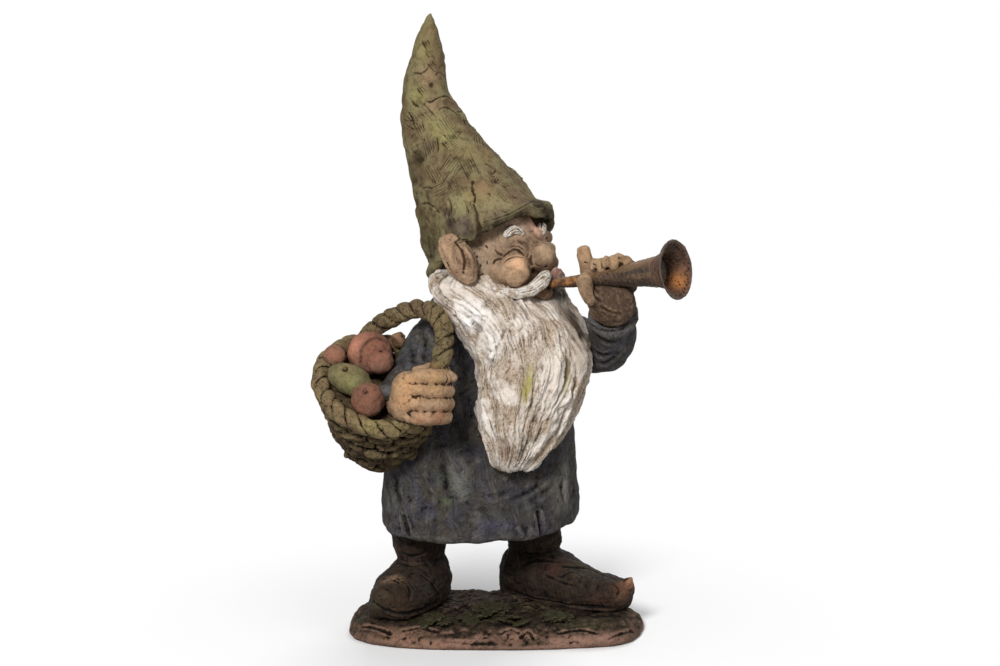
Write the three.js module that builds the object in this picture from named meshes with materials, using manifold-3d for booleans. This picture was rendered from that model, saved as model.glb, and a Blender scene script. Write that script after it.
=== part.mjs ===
// A garden gnome with a horn and a fruit basket, hand-built from separately formed clay pieces.
// Millimetres, +Z up. The origin is the middle of the plinth's underside, and X runs along the plinth.
// The figure faces -Y in its own group, with its left hand on the +X side, and is turned a little towards +X.
import * as THREE from "three";
import { mergeVertices } from "three/addons/utils/BufferGeometryUtils.js";
import Module from "manifold-3d";

const wasm = await Module();
wasm.setup();
const { Vector3 } = THREE;
const DEG = Math.PI / 180;

// Joints: the gap that every piece keeps to the piece it is pressed on
const CLEARANCE = 0.3;

// Plinth
const PLINTH_LENGTH = 202;
const PLINTH_DEPTH = 118;
const PLINTH_HEIGHT = 13;
const PLINTH_EDGE_SLOPE = 12;
const LEAF_RADIUS = 9;
const LEAF_HEIGHT = 3.2;

// Figure on the plinth
const FIGURE_X = -9;
const FIGURE_Y = 20;
const FIGURE_TURN = 18 * DEG;

// Boots, legs and the steel dowels inside them
const RIGHT_FOOT_ASIDE = 39;
const RIGHT_FOOT_BACK = 13;
const RIGHT_TOE_OUT = 42 * DEG;
const RIGHT_BOOT_REACH = 64;
const LEFT_FOOT_ASIDE = 41.5;
const LEFT_FOOT_BACK = 7;
const LEFT_TOE_OUT = 34 * DEG;
const LEFT_BOOT_REACH = 84;
const BOOT_HEEL = 21;
const BOOT_HALF_WIDTH = 19.5;
const BOOT_HEIGHT = 38;
const LEG_RADIUS = 19.5;
const LEG_SHOWN = 16.7;
const LEG_SOCKET = 5;
const DOWEL_RADIUS = 3;
const DOWEL_IN_PLINTH = 8;
const DOWEL_IN_TUNIC = 30;

// Tunic
const TUNIC_HEIGHT = 175;
const TUNIC_HALF_WIDTH = 69;
const TUNIC_HALF_DEPTH = 56;
const SHOULDER_HALF_WIDTH = 41;
const HEM_INSET = 0.06;
const HEM_RECESS = 3.5;
const HEM_WALL = 6;
const HEM_SLIT_HEIGHT = 20;
const HEM_SLIT_WIDTH = 2.6;
const HEM_SLIT_DEPTH = 9;
const HEM_SLIT_BEARINGS = [67 * DEG, 154 * DEG];

// Head
const HEAD_ASIDE = 7.6;
const HEAD_FORWARD = 10.9;
const HEAD_RISE = 15;
const HEAD_TURN = 38 * DEG;
const HEAD_TILT = 18 * DEG;
const HEAD_HALF_WIDTH = 29;
const HEAD_HALF_DEPTH = 33;
const HEAD_HALF_HEIGHT = 39;
const NOSE_RADIUS = 9;
const CHEEK_RADIUS = 12;
const EYE_RADIUS = 4.5;
const BROW_RADIUS = 3;
const EAR_LENGTH = 42;
const EAR_WIDTH = 24;
const EAR_THICKNESS = 11;
const EAR_LEAN = 17 * DEG;
const EAR_FLARE = 54 * DEG;
const MOUSTACHE_RADIUS = 4.6;
const LIP_RADIUS = 5;

// Hat
const HAT_HEIGHT = 151;
const HAT_LEAN = 52;
const HAT_HOLLOW = 16;
const HAT_BACK = 5;
const HAT_RISE = 8;
const BRIM_HALF_DEPTH = 46;
const BRIM_HALF_WIDTH = 42.5;
const BRIM_TILT = 35 * DEG;
const BRIM_ROLL = 3.7;

// Beard
const BEARD_TURN = 27 * DEG;
const BEARD_RISE = 3;
const BEARD_LENGTH = 127;
const BEARD_HALF_WIDTH = 50;
const BEARD_HALF_DEPTH = 38;
const LOCK_COUNT = 13;
const LOCK_DEPTH = 0.045;

// Basket. Its rim leans on the tunic, at a share of the tunic's half width, a drop below its collar.
const TUNIC_AT_BASKET = 0.59;
const BASKET_FORWARD = 36.7;
const BASKET_DROP = 65.3;
const BASKET_LEAN = 35 * DEG;
const BASKET_RADIUS = 40;
const BASKET_FOOT_RADIUS = 24;
const BASKET_FOOT_SHIFT = 7;
const BASKET_DEPTH = 60;
const BASKET_DISH = 8;
const PEAR_TURN = 42 * DEG;
const WEAVE_ROWS = 5;
const WEAVE_STAKES = 15;
const WEAVE_BULGE = 1.3;
const ROPE_LOBES = 3;
const ROPE_LOBE_DEPTH = 0.13;
const RIM_ROPE_RADIUS = 4.9;
const RIM_TWISTS = 8;
const HANDLE_ROPE_RADIUS = 5.4;
const HANDLE_TWISTS = 6;
const HANDLE_HEIGHT = 63;
const HANDLE_LEAN = 33 * DEG;
const HANDLE_BEARING = -84 * DEG;
const HANDLE_GRIP = 0.15;

// Horn, with its mouth end given in front of and below the head's centre
const HORN_MOUTH_FORWARD = 45;
const HORN_MOUTH_DROP = 18.4;
const HORN_RISE = 12.5 * DEG;
const HORN_LENGTH = 99;
const HORN_BELL_RADIUS = 18.6;
const HORN_BELL_LENGTH = 14;
const HORN_MOUTH_RADIUS = 3;
const HORN_TUBE_RADIUS = 10.2;
const HORN_WALL = 1.8;
const HORN_GRIP = 44;

// Sleeves, cuffs and hands
const SLEEVE_RADIUS = 19;
const RIGHT_SLEEVE_TAPER = 0.18;
const LEFT_SLEEVE_TAPER = 0.24;
const CUFF_LENGTH = 7;
const CUFF_WALL = 3.4;
const WRIST_RADIUS = 10.3;
const FINGER_RADIUS = 4.5;
const FINGER_PITCH = 1.82;
const HORN_FINGER_PITCH = 2.09;

// Heights that follow from the pieces below
const BOOT_FLOOR = PLINTH_HEIGHT + CLEARANCE;
const HEM_HEIGHT = BOOT_FLOOR + BOOT_HEIGHT + LEG_SHOWN;
const TUNIC_TOP = HEM_HEIGHT + TUNIC_HEIGHT;

// Clay and metal colours
const clay = (color, roughness = 0.85) => new THREE.MeshStandardMaterial({ color, roughness, metalness: 0 });
const COLOURS = {
  earth: clay(0x5a4434),
  moss: clay(0x3f4630),
  leather: clay(0x4a3a2e),
  cloth: clay(0x4b4d57),
  skin: clay(0xa58468),
  hair: clay(0xc9bcab),
  felt: clay(0x7c7750),
  wicker: clay(0x81745a),
  apple: clay(0xa06b54),
  pear: clay(0x7d7a4c),
  rust: new THREE.MeshStandardMaterial({ color: 0x5f4536, roughness: 0.6, metalness: 0.5 }),
  steel: new THREE.MeshStandardMaterial({ color: 0x8d9094, roughness: 0.4, metalness: 0.9 }),
};

// Solids and seats

function solidOf(geometry) {
  const bare = geometry.clone();
  bare.deleteAttribute("normal");
  bare.deleteAttribute("uv");
  const merged = mergeVertices(bare, 1e-4);
  return new wasm.Manifold(
    new wasm.Mesh({
      numProp: 3,
      vertProperties: merged.getAttribute("position").array,
      triVerts: new Uint32Array(merged.index.array),
    }),
  );
}

function geometryOf(solid) {
  const mesh = solid.getMesh();
  const geometry = new THREE.BufferGeometry();
  geometry.setAttribute("position", new THREE.BufferAttribute(new Float32Array(mesh.vertProperties), 3));
  geometry.setIndex(new THREE.BufferAttribute(new Uint32Array(mesh.triVerts), 1));
  geometry.computeVertexNormals();
  return geometry;
}

const joined = (geometries) => geometryOf(geometries.map(solidOf).reduce((sum, next) => sum.add(next)));
const without = (geometry, ...tools) =>
  geometryOf(tools.map(solidOf).reduce((rest, tool) => rest.subtract(tool), solidOf(geometry)));

// A piece is a named mesh whose form(grow) gives its shape, grown all round to make a seat in its neighbours.
function piece(name, material, parent, form) {
  const mesh = new THREE.Mesh(form(0), material);
  mesh.name = name;
  mesh.userData.form = form;
  parent.add(mesh);
  return mesh;
}

// Cuts seats for other pieces into one piece, each with the clearance all round.
function carve(target, ...others) {
  const toTarget = target.matrixWorld.clone().invert();
  const seats = others.map((other) =>
    other.userData
      .form(CLEARANCE)
      .applyMatrix4(new THREE.Matrix4().multiplyMatrices(toTarget, other.matrixWorld)),
  );
  target.geometry = without(target.geometry, ...seats);
}

// Skins and sweeps

// Carries each point of a closed unit cylinder to place(turn, rise, reach).
// These run round the wall, up it, and out from its axis.
function skin(around, along, place) {
  const geometry = new THREE.CylinderGeometry(1, 1, 1, around, along);
  const points = geometry.getAttribute("position");
  for (let i = 0; i < points.count; i++) {
    const turn = Math.atan2(points.getZ(i), points.getX(i));
    const point = place(turn, points.getY(i) + 0.5, Math.hypot(points.getX(i), points.getZ(i)));
    points.setXYZ(i, point.x, point.y, point.z);
  }
  return geometry;
}

// How far the first and the last ring of a skin move on when it is grown.
const endGrowth = (rise, grow) => (rise === 0 ? -grow : rise === 1 ? grow : 0);

// A smooth curve through rows of three numbers, read by share from 0 to 1.
const through = (rows) => {
  const points = rows.map((row) => new Vector3(...row));
  return new THREE.CatmullRomCurve3(points, false, "catmullrom");
};

// A form of level sections: each station is the [x, y, z] of its middle and its [half width, half depth].
function standing(stations, around, along, grow, ripple = () => 1) {
  const middles = through(stations.map(([middle]) => middle));
  const sizes = through(stations.map(([, size]) => [...size, 0]));
  return skin(around, along, (turn, rise, reach) => {
    const middle = middles.getPoint(rise);
    const size = sizes.getPoint(rise);
    const wave = ripple(turn, rise);
    return new Vector3(
      middle.x + Math.cos(turn) * reach * (size.x * wave + grow),
      middle.y - Math.sin(turn) * reach * (size.y * wave + grow),
      middle.z + endGrowth(rise, grow),
    );
  });
}

// A rod along a curve: radiusAt(share, turn) is its outline, and spacing sets its rings along the curve.
function swept(path, radiusAt, around, along, grow, spacing = (rise) => rise) {
  const steps = 60;
  const frames = path.computeFrenetFrames(steps, false);
  return skin(around, along, (turn, rise, reach) => {
    const share = spacing(rise);
    const at = Math.round(share * steps);
    const radius = reach * (radiusAt(share, turn) + grow);
    return path
      .getPointAt(share)
      .addScaledVector(frames.normals[at], Math.cos(turn) * radius)
      .addScaledVector(frames.binormals[at], -Math.sin(turn) * radius)
      .addScaledVector(frames.tangents[at], endGrowth(rise, grow));
  });
}

// A rod with rounded ends: its rings crowd towards them, and its radius draws in over a part of its length.
function roll(path, radiusAt, part, around, along, grow) {
  const crowded = (rise) => (1 - Math.cos(Math.PI * rise)) / 2;
  const drawn = (share) => {
    const near = Math.min(share, 1 - share) / part;
    return near >= 1 ? 1 : Math.max(0.25, Math.sqrt(1 - (1 - near) ** 2));
  };
  return swept(path, (share) => radiusAt(share) * drawn(share), around, along, grow, crowded);
}

// An egg with three half sizes.
function egg(size, around, along, grow, middle = [0, 0, 0]) {
  return new THREE.SphereGeometry(1, around, along)
    .rotateX(Math.PI / 2)
    .scale(size[0] + grow, size[1] + grow, size[2] + grow)
    .translate(...middle);
}

// A closed ring: place(round, turn) carries each point of a torus.
function ring(round, around, place) {
  const geometry = new THREE.TorusGeometry(2, 1, around, round);
  const points = geometry.getAttribute("position");
  for (let i = 0; i < points.count; i++) {
    const [x, y, z] = [points.getX(i), points.getY(i), points.getZ(i)];
    const point = place(Math.atan2(y, x), Math.atan2(z, Math.hypot(x, y) - 2));
    points.setXYZ(i, point.x, point.y, point.z);
  }
  return geometry;
}

// A turned form round the Y axis, whose [radius, height] points end on the axis or close on themselves.
function turned(profile, around) {
  return new THREE.LatheGeometry(profile.map(([r, y]) => new THREE.Vector2(r, y)), around);
}

// Twisted rope: the share by which its outline swells at a turn, after a number of twists.
const strand = (turn, twists) => 1 + ROPE_LOBE_DEPTH * Math.cos(ROPE_LOBES * turn - 2 * Math.PI * twists);

// Groups

const gnome = new THREE.Group();
const figure = new THREE.Group();
figure.position.set(FIGURE_X, FIGURE_Y, 0);
figure.rotation.z = FIGURE_TURN;
gnome.add(figure);

const neck = new THREE.Group();
neck.position.set(HEAD_ASIDE, -HEAD_FORWARD, TUNIC_TOP + HEAD_RISE);
neck.rotation.z = HEAD_TURN;
figure.add(neck);

const face = new THREE.Group();
face.rotation.x = -HEAD_TILT;
neck.add(face);

const beardFall = new THREE.Group();
beardFall.rotation.z = BEARD_TURN;
figure.add(beardFall);

const basket = new THREE.Group();
const basketAside = TUNIC_HALF_WIDTH * TUNIC_AT_BASKET + BASKET_RADIUS;
basket.position.set(-basketAside, -BASKET_FORWARD, TUNIC_TOP - BASKET_DROP);
basket.rotation.x = BASKET_LEAN;
figure.add(basket);

const horn = new THREE.Group();
horn.position.set(0, -HORN_MOUTH_FORWARD, -HORN_MOUTH_DROP);
horn.rotation.x = -HORN_RISE;
neck.add(horn);

gnome.updateMatrixWorld(true);
const inFigure = (group, point) => figure.worldToLocal(group.localToWorld(point.clone()));

// Plinth and leaves

const plinth = piece("plinth", COLOURS.earth, gnome, (grow) => {
  const waves = (turn) => 1 + 0.02 * Math.sin(3 * turn + 1) + 0.015 * Math.sin(5 * turn + 2);
  const square = (turn) => (Math.abs(Math.cos(turn)) ** 2.5 + Math.abs(Math.sin(turn)) ** 2.5) ** (-1 / 2.5);
  const station = (height, slope) => {
    const inset = PLINTH_EDGE_SLOPE * slope;
    return [[0, 0, PLINTH_HEIGHT * height], [PLINTH_LENGTH / 2 - inset, PLINTH_DEPTH / 2 - inset]];
  };
  const stations = [station(0, 0.1), station(0.25, 0), station(0.7, 0.4), station(1, 1)];
  return standing(stations, 30, 3, grow, (turn) => waves(turn) * square(turn));
});

// Each clump's place, as shares of the plinth's half length and half depth.
const LEAF_PLACES = [
  [-0.38, -0.63],
  [-0.12, -0.56],
  [0.14, -0.63],
  [0.42, -0.49],
  [-0.02, -0.15],
];
const leaves = LEAF_PLACES.map(([along, across], i) => {
  const leaf = piece(`leaf_clump_${i + 1}`, COLOURS.moss, gnome, (grow) => {
    const station = (height, size) => {
      const radius = LEAF_RADIUS * size;
      return [[0, 0, LEAF_HEIGHT * height], [radius, radius]];
    };
    const lobes = (turn) => 1 + 0.14 * Math.cos(5 * turn + i);
    return standing([station(0, 1), station(0.6, 0.95), station(1, 0.5)], 10, 2, grow, lobes);
  });
  leaf.position.set((along * PLINTH_LENGTH) / 2, (across * PLINTH_DEPTH) / 2, PLINTH_HEIGHT + CLEARANCE);
  return leaf;
});

// Boots, legs and dowels

function bootForm(reach, grow) {
  // Each station along the sole: distance ahead of the ankle, half width, height, and the lift of the sole.
  const stations = [
    [-BOOT_HEEL, BOOT_HALF_WIDTH * 0.55, BOOT_HEIGHT * 0.5, 0],
    [-BOOT_HEEL * 0.75, BOOT_HALF_WIDTH * 0.92, BOOT_HEIGHT * 0.95, 0],
    [0, BOOT_HALF_WIDTH, BOOT_HEIGHT, 0],
    [reach * 0.28, BOOT_HALF_WIDTH * 1.04, BOOT_HEIGHT * 0.84, 0],
    [reach * 0.52, BOOT_HALF_WIDTH, BOOT_HEIGHT * 0.71, 0],
    [reach * 0.74, BOOT_HALF_WIDTH * 0.84, BOOT_HEIGHT * 0.64, 0],
    [reach * 0.88, BOOT_HALF_WIDTH * 0.58, BOOT_HEIGHT * 0.6, BOOT_HEIGHT * 0.02],
    [reach * 0.96, BOOT_HALF_WIDTH * 0.36, BOOT_HEIGHT * 0.48, BOOT_HEIGHT * 0.2],
    [reach, BOOT_HALF_WIDTH * 0.14, BOOT_HEIGHT * 0.16, BOOT_HEIGHT * 0.52],
  ];
  const line = through(stations.map(([ahead, , , lift]) => [0, -ahead, lift]));
  const sizes = through(stations.map(([, width, height]) => [width, height, 0]));
  return skin(12, 12, (turn, rise, out) => {
    const middle = line.getPoint(1 - rise);
    const size = sizes.getPoint(1 - rise);
    // The section is a rounded arch that stands on a flat sole.
    const across = Math.sign(Math.cos(turn)) * Math.abs(Math.cos(turn)) ** 0.8;
    const up = Math.max(Math.sin(turn), -0.55) / 1.55 + 0.355;
    return new Vector3(
      middle.x + across * out * (size.x + grow),
      middle.y + endGrowth(rise, grow),
      middle.z + (out > 0.5 ? up * (size.y + 2 * grow) - grow : size.y * 0.5),
    );
  }).translate(0, 0, BOOT_FLOOR);
}

function legForm(grow) {
  const foot = BOOT_FLOOR + BOOT_HEIGHT - LEG_SOCKET;
  const top = HEM_HEIGHT + HEM_RECESS - CLEARANCE;
  const fold = (turn, rise) => 1 + 0.05 * Math.sin(rise * 9) + 0.03 * Math.sin(4 * turn + 5 * rise);
  const station = (z, size) => [[0, 0, z], [LEG_RADIUS * size, LEG_RADIUS * size]];
  return standing([station(foot, 0.9), station((foot + top) / 2, 1), station(top, 1)], 12, 4, grow, fold);
}

function dowelForm(grow) {
  const foot = PLINTH_HEIGHT - DOWEL_IN_PLINTH;
  const top = HEM_HEIGHT + DOWEL_IN_TUNIC;
  return new THREE.CylinderGeometry(DOWEL_RADIUS + grow, DOWEL_RADIUS + grow, top - foot + 2 * grow, 12)
    .rotateX(Math.PI / 2)
    .translate(0, 0, (foot + top) / 2);
}

const STANDS = [
  { side: "right", x: -RIGHT_FOOT_ASIDE, y: RIGHT_FOOT_BACK, turn: -RIGHT_TOE_OUT, reach: RIGHT_BOOT_REACH },
  { side: "left", x: LEFT_FOOT_ASIDE, y: LEFT_FOOT_BACK, turn: LEFT_TOE_OUT, reach: LEFT_BOOT_REACH },
];
const limbs = STANDS.map(({ side, x, y, turn, reach }) => {
  const stand = new THREE.Group();
  stand.position.set(x, y, 0);
  stand.rotation.z = turn;
  figure.add(stand);
  const boot = piece(`${side}_boot`, COLOURS.leather, stand, (grow) => bootForm(reach, grow));
  const leg = piece(`${side}_leg`, COLOURS.leather, stand, legForm);
  const dowel = piece(`${side}_leg_dowel`, COLOURS.steel, stand, dowelForm);
  return { boot, leg, dowel };
});

// Tunic: a bell of cloth with a gathered, slit hem, hollowed a little behind the hem

const tunic = piece("tunic", COLOURS.cloth, figure, (grow) => {
  // Each station: share of the height, its size and its middle, as shares of the half width and half depth.
  const station = (share, width, depth, aside = 0, back = 0) => [
    [TUNIC_HALF_WIDTH * aside, TUNIC_HALF_DEPTH * back, HEM_HEIGHT + TUNIC_HEIGHT * share],
    [TUNIC_HALF_WIDTH * width, TUNIC_HALF_DEPTH * depth],
  ];
  const shoulder = SHOULDER_HALF_WIDTH / TUNIC_HALF_WIDTH;
  const stations = [
    station(0, 1 - HEM_INSET, 1 - HEM_INSET),
    station(0.035, 1, 1),
    station(0.17, 0.97, 0.98),
    station(0.33, 0.96, 0.96),
    station(0.5, 0.9, 0.87, 0.015, 0.035),
    station(0.69, 0.77, 0.8, 0.045, -0.02),
    station(0.875, shoulder, 0.68, 0.06, -0.09),
    station(0.96, shoulder * 0.7, 0.5, 0.09, -0.145),
    station(1, shoulder * 0.4, 0.32, 0.1, -0.16),
  ];
  const folds = (turn, rise) => 1 + 0.022 * (1 - rise) ** 2 * Math.sin(7 * turn + 4 * rise);
  const bell = standing(stations, 22, 11, grow, folds);
  if (grow > 0) return bell;
  const hem = [TUNIC_HALF_WIDTH, TUNIC_HALF_DEPTH].map((half) => half * (1 - HEM_INSET));
  const floor = hem.map((half) => half - HEM_WALL);
  const recess = [-HEM_RECESS, HEM_RECESS].map((rise) => [[0, 0, HEM_HEIGHT + rise], floor]);
  const slits = HEM_SLIT_BEARINGS.map((bearing) =>
    egg([HEM_SLIT_DEPTH, HEM_SLIT_WIDTH / 2, HEM_SLIT_HEIGHT], 8, 6, 0)
      .rotateZ(-bearing)
      .translate(Math.cos(bearing) * hem[0], -Math.sin(bearing) * hem[1], HEM_HEIGHT),
  );
  return without(bell, standing(recess, 22, 1, 0), ...slits);
});

// Head and what is pressed on it. In its group -Y is straight out of the face and +X is its left side.

const head = piece("head", COLOURS.skin, face, (grow) =>
  egg([HEAD_HALF_WIDTH, HEAD_HALF_DEPTH, HEAD_HALF_HEIGHT], 14, 10, grow),
);

// A place on the face, as shares of the head's half sizes.
const onFace = (across, forward, up) => [
  across * HEAD_HALF_WIDTH,
  -forward * HEAD_HALF_DEPTH,
  up * HEAD_HALF_HEIGHT,
];

const nose = piece("nose", COLOURS.skin, face, (grow) =>
  egg([NOSE_RADIUS, NOSE_RADIUS * 1.15, NOSE_RADIUS], 10, 7, grow, onFace(0, 1.08, -0.28)),
);
const lip = piece("lower_lip", COLOURS.skin, face, (grow) =>
  egg([LIP_RADIUS * 1.5, LIP_RADIUS, LIP_RADIUS], 10, 6, grow, onFace(0, 0.86, -0.82)),
);

function earForm(side, grow) {
  const size = [EAR_THICKNESS / 2, EAR_WIDTH / 2, EAR_LENGTH / 2];
  const leaf = egg(size, 9, 7, grow);
  const hollow = egg([size[0] * 0.7, size[1] * 0.6, size[2] * 0.66], 7, 5, 0, [side * size[0] * 0.95, -2, 2]);
  return (grow > 0 ? leaf : without(leaf, hollow))
    .rotateX(-EAR_LEAN)
    .rotateZ(-side * EAR_FLARE)
    .translate(side * (HEAD_HALF_WIDTH + EAR_WIDTH * 0.54), -1, 1);
}

const features = [-1, 1].map((side) => {
  const name = side < 0 ? "right" : "left";
  const cheekPlace = onFace(side * 0.53, 0.66, -0.385);
  const cheek = piece(`${name}_cheek`, COLOURS.skin, face, (grow) =>
    egg([CHEEK_RADIUS, CHEEK_RADIUS * 0.95, CHEEK_RADIUS * 0.9], 10, 7, grow, cheekPlace),
  );
  const eye = piece(`${name}_eye`, COLOURS.skin, face, (grow) =>
    egg([EYE_RADIUS, EYE_RADIUS, EYE_RADIUS], 8, 6, grow, onFace(side * 0.5, 0.81, -0.04)),
  );
  const ear = piece(`${name}_ear`, COLOURS.skin, face, (grow) => earForm(side, grow));
  const browLine = through([
    onFace(side * 0.28, 0.97, 0.155),
    onFace(side * 0.48, 0.9, 0.295),
    onFace(side * 0.68, 0.74, 0.205),
  ]);
  const brow = piece(`${name}_eyebrow`, COLOURS.hair, face, (grow) =>
    roll(browLine, () => BROW_RADIUS, 0.35, 7, 6, grow),
  );
  const moustacheLine = through([
    onFace(side * 0.07, 1.18, -0.565),
    onFace(side * 0.345, 1.045, -0.745),
    onFace(side * 0.655, 0.79, -0.81),
    onFace(side * 0.9, 0.485, -0.69),
    onFace(side * 1.02, 0.335, -0.565),
  ]);
  const moustache = piece(`${name}_moustache`, COLOURS.hair, face, (grow) =>
    roll(moustacheLine, (share) => MOUSTACHE_RADIUS * (1.1 - 0.75 * share), 0.2, 7, 7, grow),
  );
  return { cheek, eye, ear, brow, moustache };
});

// Hat: a tall cone whose spine bends back and then up, with a rolled brim

// Each station: share of the lean, share of the height, share of the brim's size.
const HAT_STATIONS = [
  [0, 0, 1],
  [0.27, 0.147, 0.86],
  [0.51, 0.264, 0.71],
  [0.77, 0.407, 0.56],
  [0.94, 0.533, 0.445],
  [1, 0.645, 0.345],
  [0.98, 0.752, 0.27],
  [0.95, 0.864, 0.18],
  [0.94, 0.958, 0.105],
  [0.89, 1, 0.03],
];
const hatSpine = through(
  HAT_STATIONS.map(([back, up]) => [0, HAT_BACK + back * HAT_LEAN, HAT_RISE + up * HAT_HEIGHT]),
);
const hatSize = through(
  HAT_STATIONS.map(([, , size]) => [size * BRIM_HALF_WIDTH, size * BRIM_HALF_DEPTH, 0]),
);
const hatNormal = new Vector3(0, Math.sin(BRIM_TILT), Math.cos(BRIM_TILT));

// A point of the hat's wall, on a section that turns from the brim's plane to one square to the spine.
function onHat(share, turn, reach, grow) {
  const size = hatSize.getPoint(share);
  const settled = Math.min(share / 0.3, 1);
  const ahead = hatNormal.clone().lerp(hatSpine.getTangent(share), settled).normalize();
  const front = new Vector3(0, -ahead.z, ahead.y);
  const dents = 0.025 * Math.sin(26 * share) * Math.sin(turn - 1);
  const crease = 1 + 0.03 * Math.sin(3 * turn + 9 * share) + dents;
  const hollow = share === 0 ? (1 - reach) * HAT_HOLLOW : 0;
  return hatSpine
    .getPoint(share)
    .add(new Vector3(Math.cos(turn) * reach * (size.x * crease + grow), 0, 0))
    .addScaledVector(front, Math.sin(turn) * reach * (size.y * crease + grow))
    .addScaledVector(ahead, hollow + endGrowth(share, grow));
}
const hat = piece("hat", COLOURS.felt, neck, (grow) =>
  skin(18, 11, (turn, rise, reach) => onHat(rise, turn, reach, grow)),
);
const brim = piece("hat_brim", COLOURS.felt, neck, (grow) =>
  ring(18, 6, (round, turn) => {
    const middle = onHat(0, -round, 1, 0);
    const out = middle.clone().sub(hatSpine.getPoint(0)).projectOnPlane(hatNormal).normalize();
    return middle
      .addScaledVector(out, Math.cos(turn) * (BRIM_ROLL + grow))
      .addScaledVector(hatNormal, Math.sin(turn) * (BRIM_ROLL * 1.15 + grow));
  }),
);

// Beard: a broad fall of locks from ear to ear, down to a blunt tip

const beard = piece("beard", COLOURS.hair, beardFall, (grow) => {
  const tip = TUNIC_TOP + BEARD_RISE - BEARD_LENGTH;
  // Each station: share of the length, its middle and its size, as shares of the half width and half depth.
  const station = (share, aside, forward, width, depth) => [
    [aside * BEARD_HALF_WIDTH, -forward * BEARD_HALF_DEPTH, tip + share * BEARD_LENGTH],
    [width * BEARD_HALF_WIDTH, depth * BEARD_HALF_DEPTH],
  ];
  const stations = [
    station(0, -0.36, 1.42, 0.34, 0.25),
    station(0.07, -0.3, 1.395, 0.48, 0.42),
    station(0.26, -0.12, 1.37, 0.68, 0.74),
    station(0.48, 0.04, 1.24, 0.84, 0.92),
    station(0.68, 0.08, 1.105, 0.92, 1),
    station(0.87, 0, 0.605, 1.02, 0.82),
    station(0.95, -0.02, 0.315, 0.98, 0.72),
    station(1, -0.02, 0.21, 0.84, 0.62),
  ];
  const sway = (rise) => 3 * Math.sin(5 * rise) + 2 * rise;
  const locks = (turn, rise) => 1 + LOCK_DEPTH * Math.sin(LOCK_COUNT * turn + sway(rise));
  return standing(stations, 2 * LOCK_COUNT, 8, grow, locks);
});

// Basket: a woven bowl filled nearly to the top, a twisted rim, a twisted hoop of a handle, and fruit

const rim = piece("basket_rim", COLOURS.wicker, basket, (grow) =>
  ring(RIM_TWISTS * ROPE_LOBES * (grow > 0 ? 1 : 2), ROPE_LOBES * 3, (round, turn) => {
    const swell = grow > 0 ? 1 + ROPE_LOBE_DEPTH : strand(turn, (round / (2 * Math.PI)) * RIM_TWISTS);
    const rope = RIM_ROPE_RADIUS * swell + 2 * grow;
    const out = BASKET_RADIUS + Math.cos(turn) * rope;
    return new Vector3(Math.cos(round) * out, Math.sin(round) * out, Math.sin(turn) * rope);
  }),
);

const bowl = piece("basket_bowl", COLOURS.wicker, basket, (grow) => {
  const steps = WEAVE_ROWS * 2;
  const wall = skin(WEAVE_STAKES * 2, steps, (turn, rise, reach) => {
    const row = Math.round(rise * steps);
    const stake = Math.round((turn / (2 * Math.PI)) * WEAVE_STAKES * 2);
    const over = row % 2 === 1 ? (-1) ** (stake + (row - 1) / 2) : -0.6;
    const wide = BASKET_FOOT_RADIUS + (BASKET_RADIUS - BASKET_FOOT_RADIUS) * Math.sin((rise * Math.PI) / 2);
    const radius = wide + (rise < 1 ? WEAVE_BULGE * over : 0) + grow;
    return new Vector3(
      Math.cos(turn) * reach * radius + BASKET_FOOT_SHIFT * (1 - rise),
      -Math.sin(turn) * reach * radius,
      -BASKET_DEPTH * (1 - rise) + endGrowth(rise, grow),
    );
  });
  if (grow > 0) return wall;
  const inside = BASKET_RADIUS - RIM_ROPE_RADIUS;
  return without(wall, egg([inside, inside, BASKET_DISH], 16, 6, 0));
});

class Hoop extends THREE.Curve {
  getPoint(share, target = new Vector3()) {
    const across = BASKET_RADIUS * Math.cos(share * Math.PI);
    const up = HANDLE_HEIGHT * Math.sin(share * Math.PI);
    const aside = up * Math.sin(HANDLE_LEAN);
    return target.set(
      Math.cos(HANDLE_BEARING) * across - Math.sin(HANDLE_BEARING) * aside,
      Math.sin(HANDLE_BEARING) * across + Math.cos(HANDLE_BEARING) * aside,
      up * Math.cos(HANDLE_LEAN),
    );
  }
}
const hoop = new Hoop();
const handle = piece("basket_handle", COLOURS.wicker, basket, (grow) => {
  const swell = (share, turn) => (grow > 0 ? 1 + ROPE_LOBE_DEPTH : strand(turn, share * HANDLE_TWISTS));
  const radiusAt = (share, turn) => HANDLE_ROPE_RADIUS * swell(share, turn);
  const rings = HANDLE_TWISTS * ROPE_LOBES * (grow > 0 ? 1 : 2);
  return swept(hoop, radiusAt, ROPE_LOBES * 3, rings, 2 * grow);
});

// Each fruit's place and half sizes are in shares of the basket's radius.
const FRUIT = [
  { name: "large_apple", place: [-0.075, 0.55, 0.2], size: [0.388, 0.388, 0.363], colour: COLOURS.apple },
  { name: "red_apple", place: [-0.01, 0.175, 0.375], size: [0.225, 0.225, 0.215], colour: COLOURS.apple },
  { name: "small_apple", place: [-0.675, 0.575, 0.15], size: [0.195, 0.195, 0.19], colour: COLOURS.apple },
  { name: "pear", place: [-0.525, 0.025, 0.125], size: [0.425, 0.275, 0.275], colour: COLOURS.pear },
  { name: "front_apple", place: [-0.35, -0.5, 0.2], size: [0.295, 0.295, 0.275], colour: COLOURS.apple },
  { name: "plum", place: [0.25, 0.775, 0.3], size: [0.15, 0.15, 0.16], colour: COLOURS.apple },
];
const inBasket = (row) => row.map((share) => share * BASKET_RADIUS);
const fruit = FRUIT.map(({ name, place, size, colour }) =>
  piece(name, colour, basket, (grow) =>
    egg(inBasket(size), 9, 6, grow)
      .rotateZ(-PEAR_TURN)
      .translate(...inBasket(place)),
  ),
);

// Horn: a turned tube with a flared bell set on its end

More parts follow.
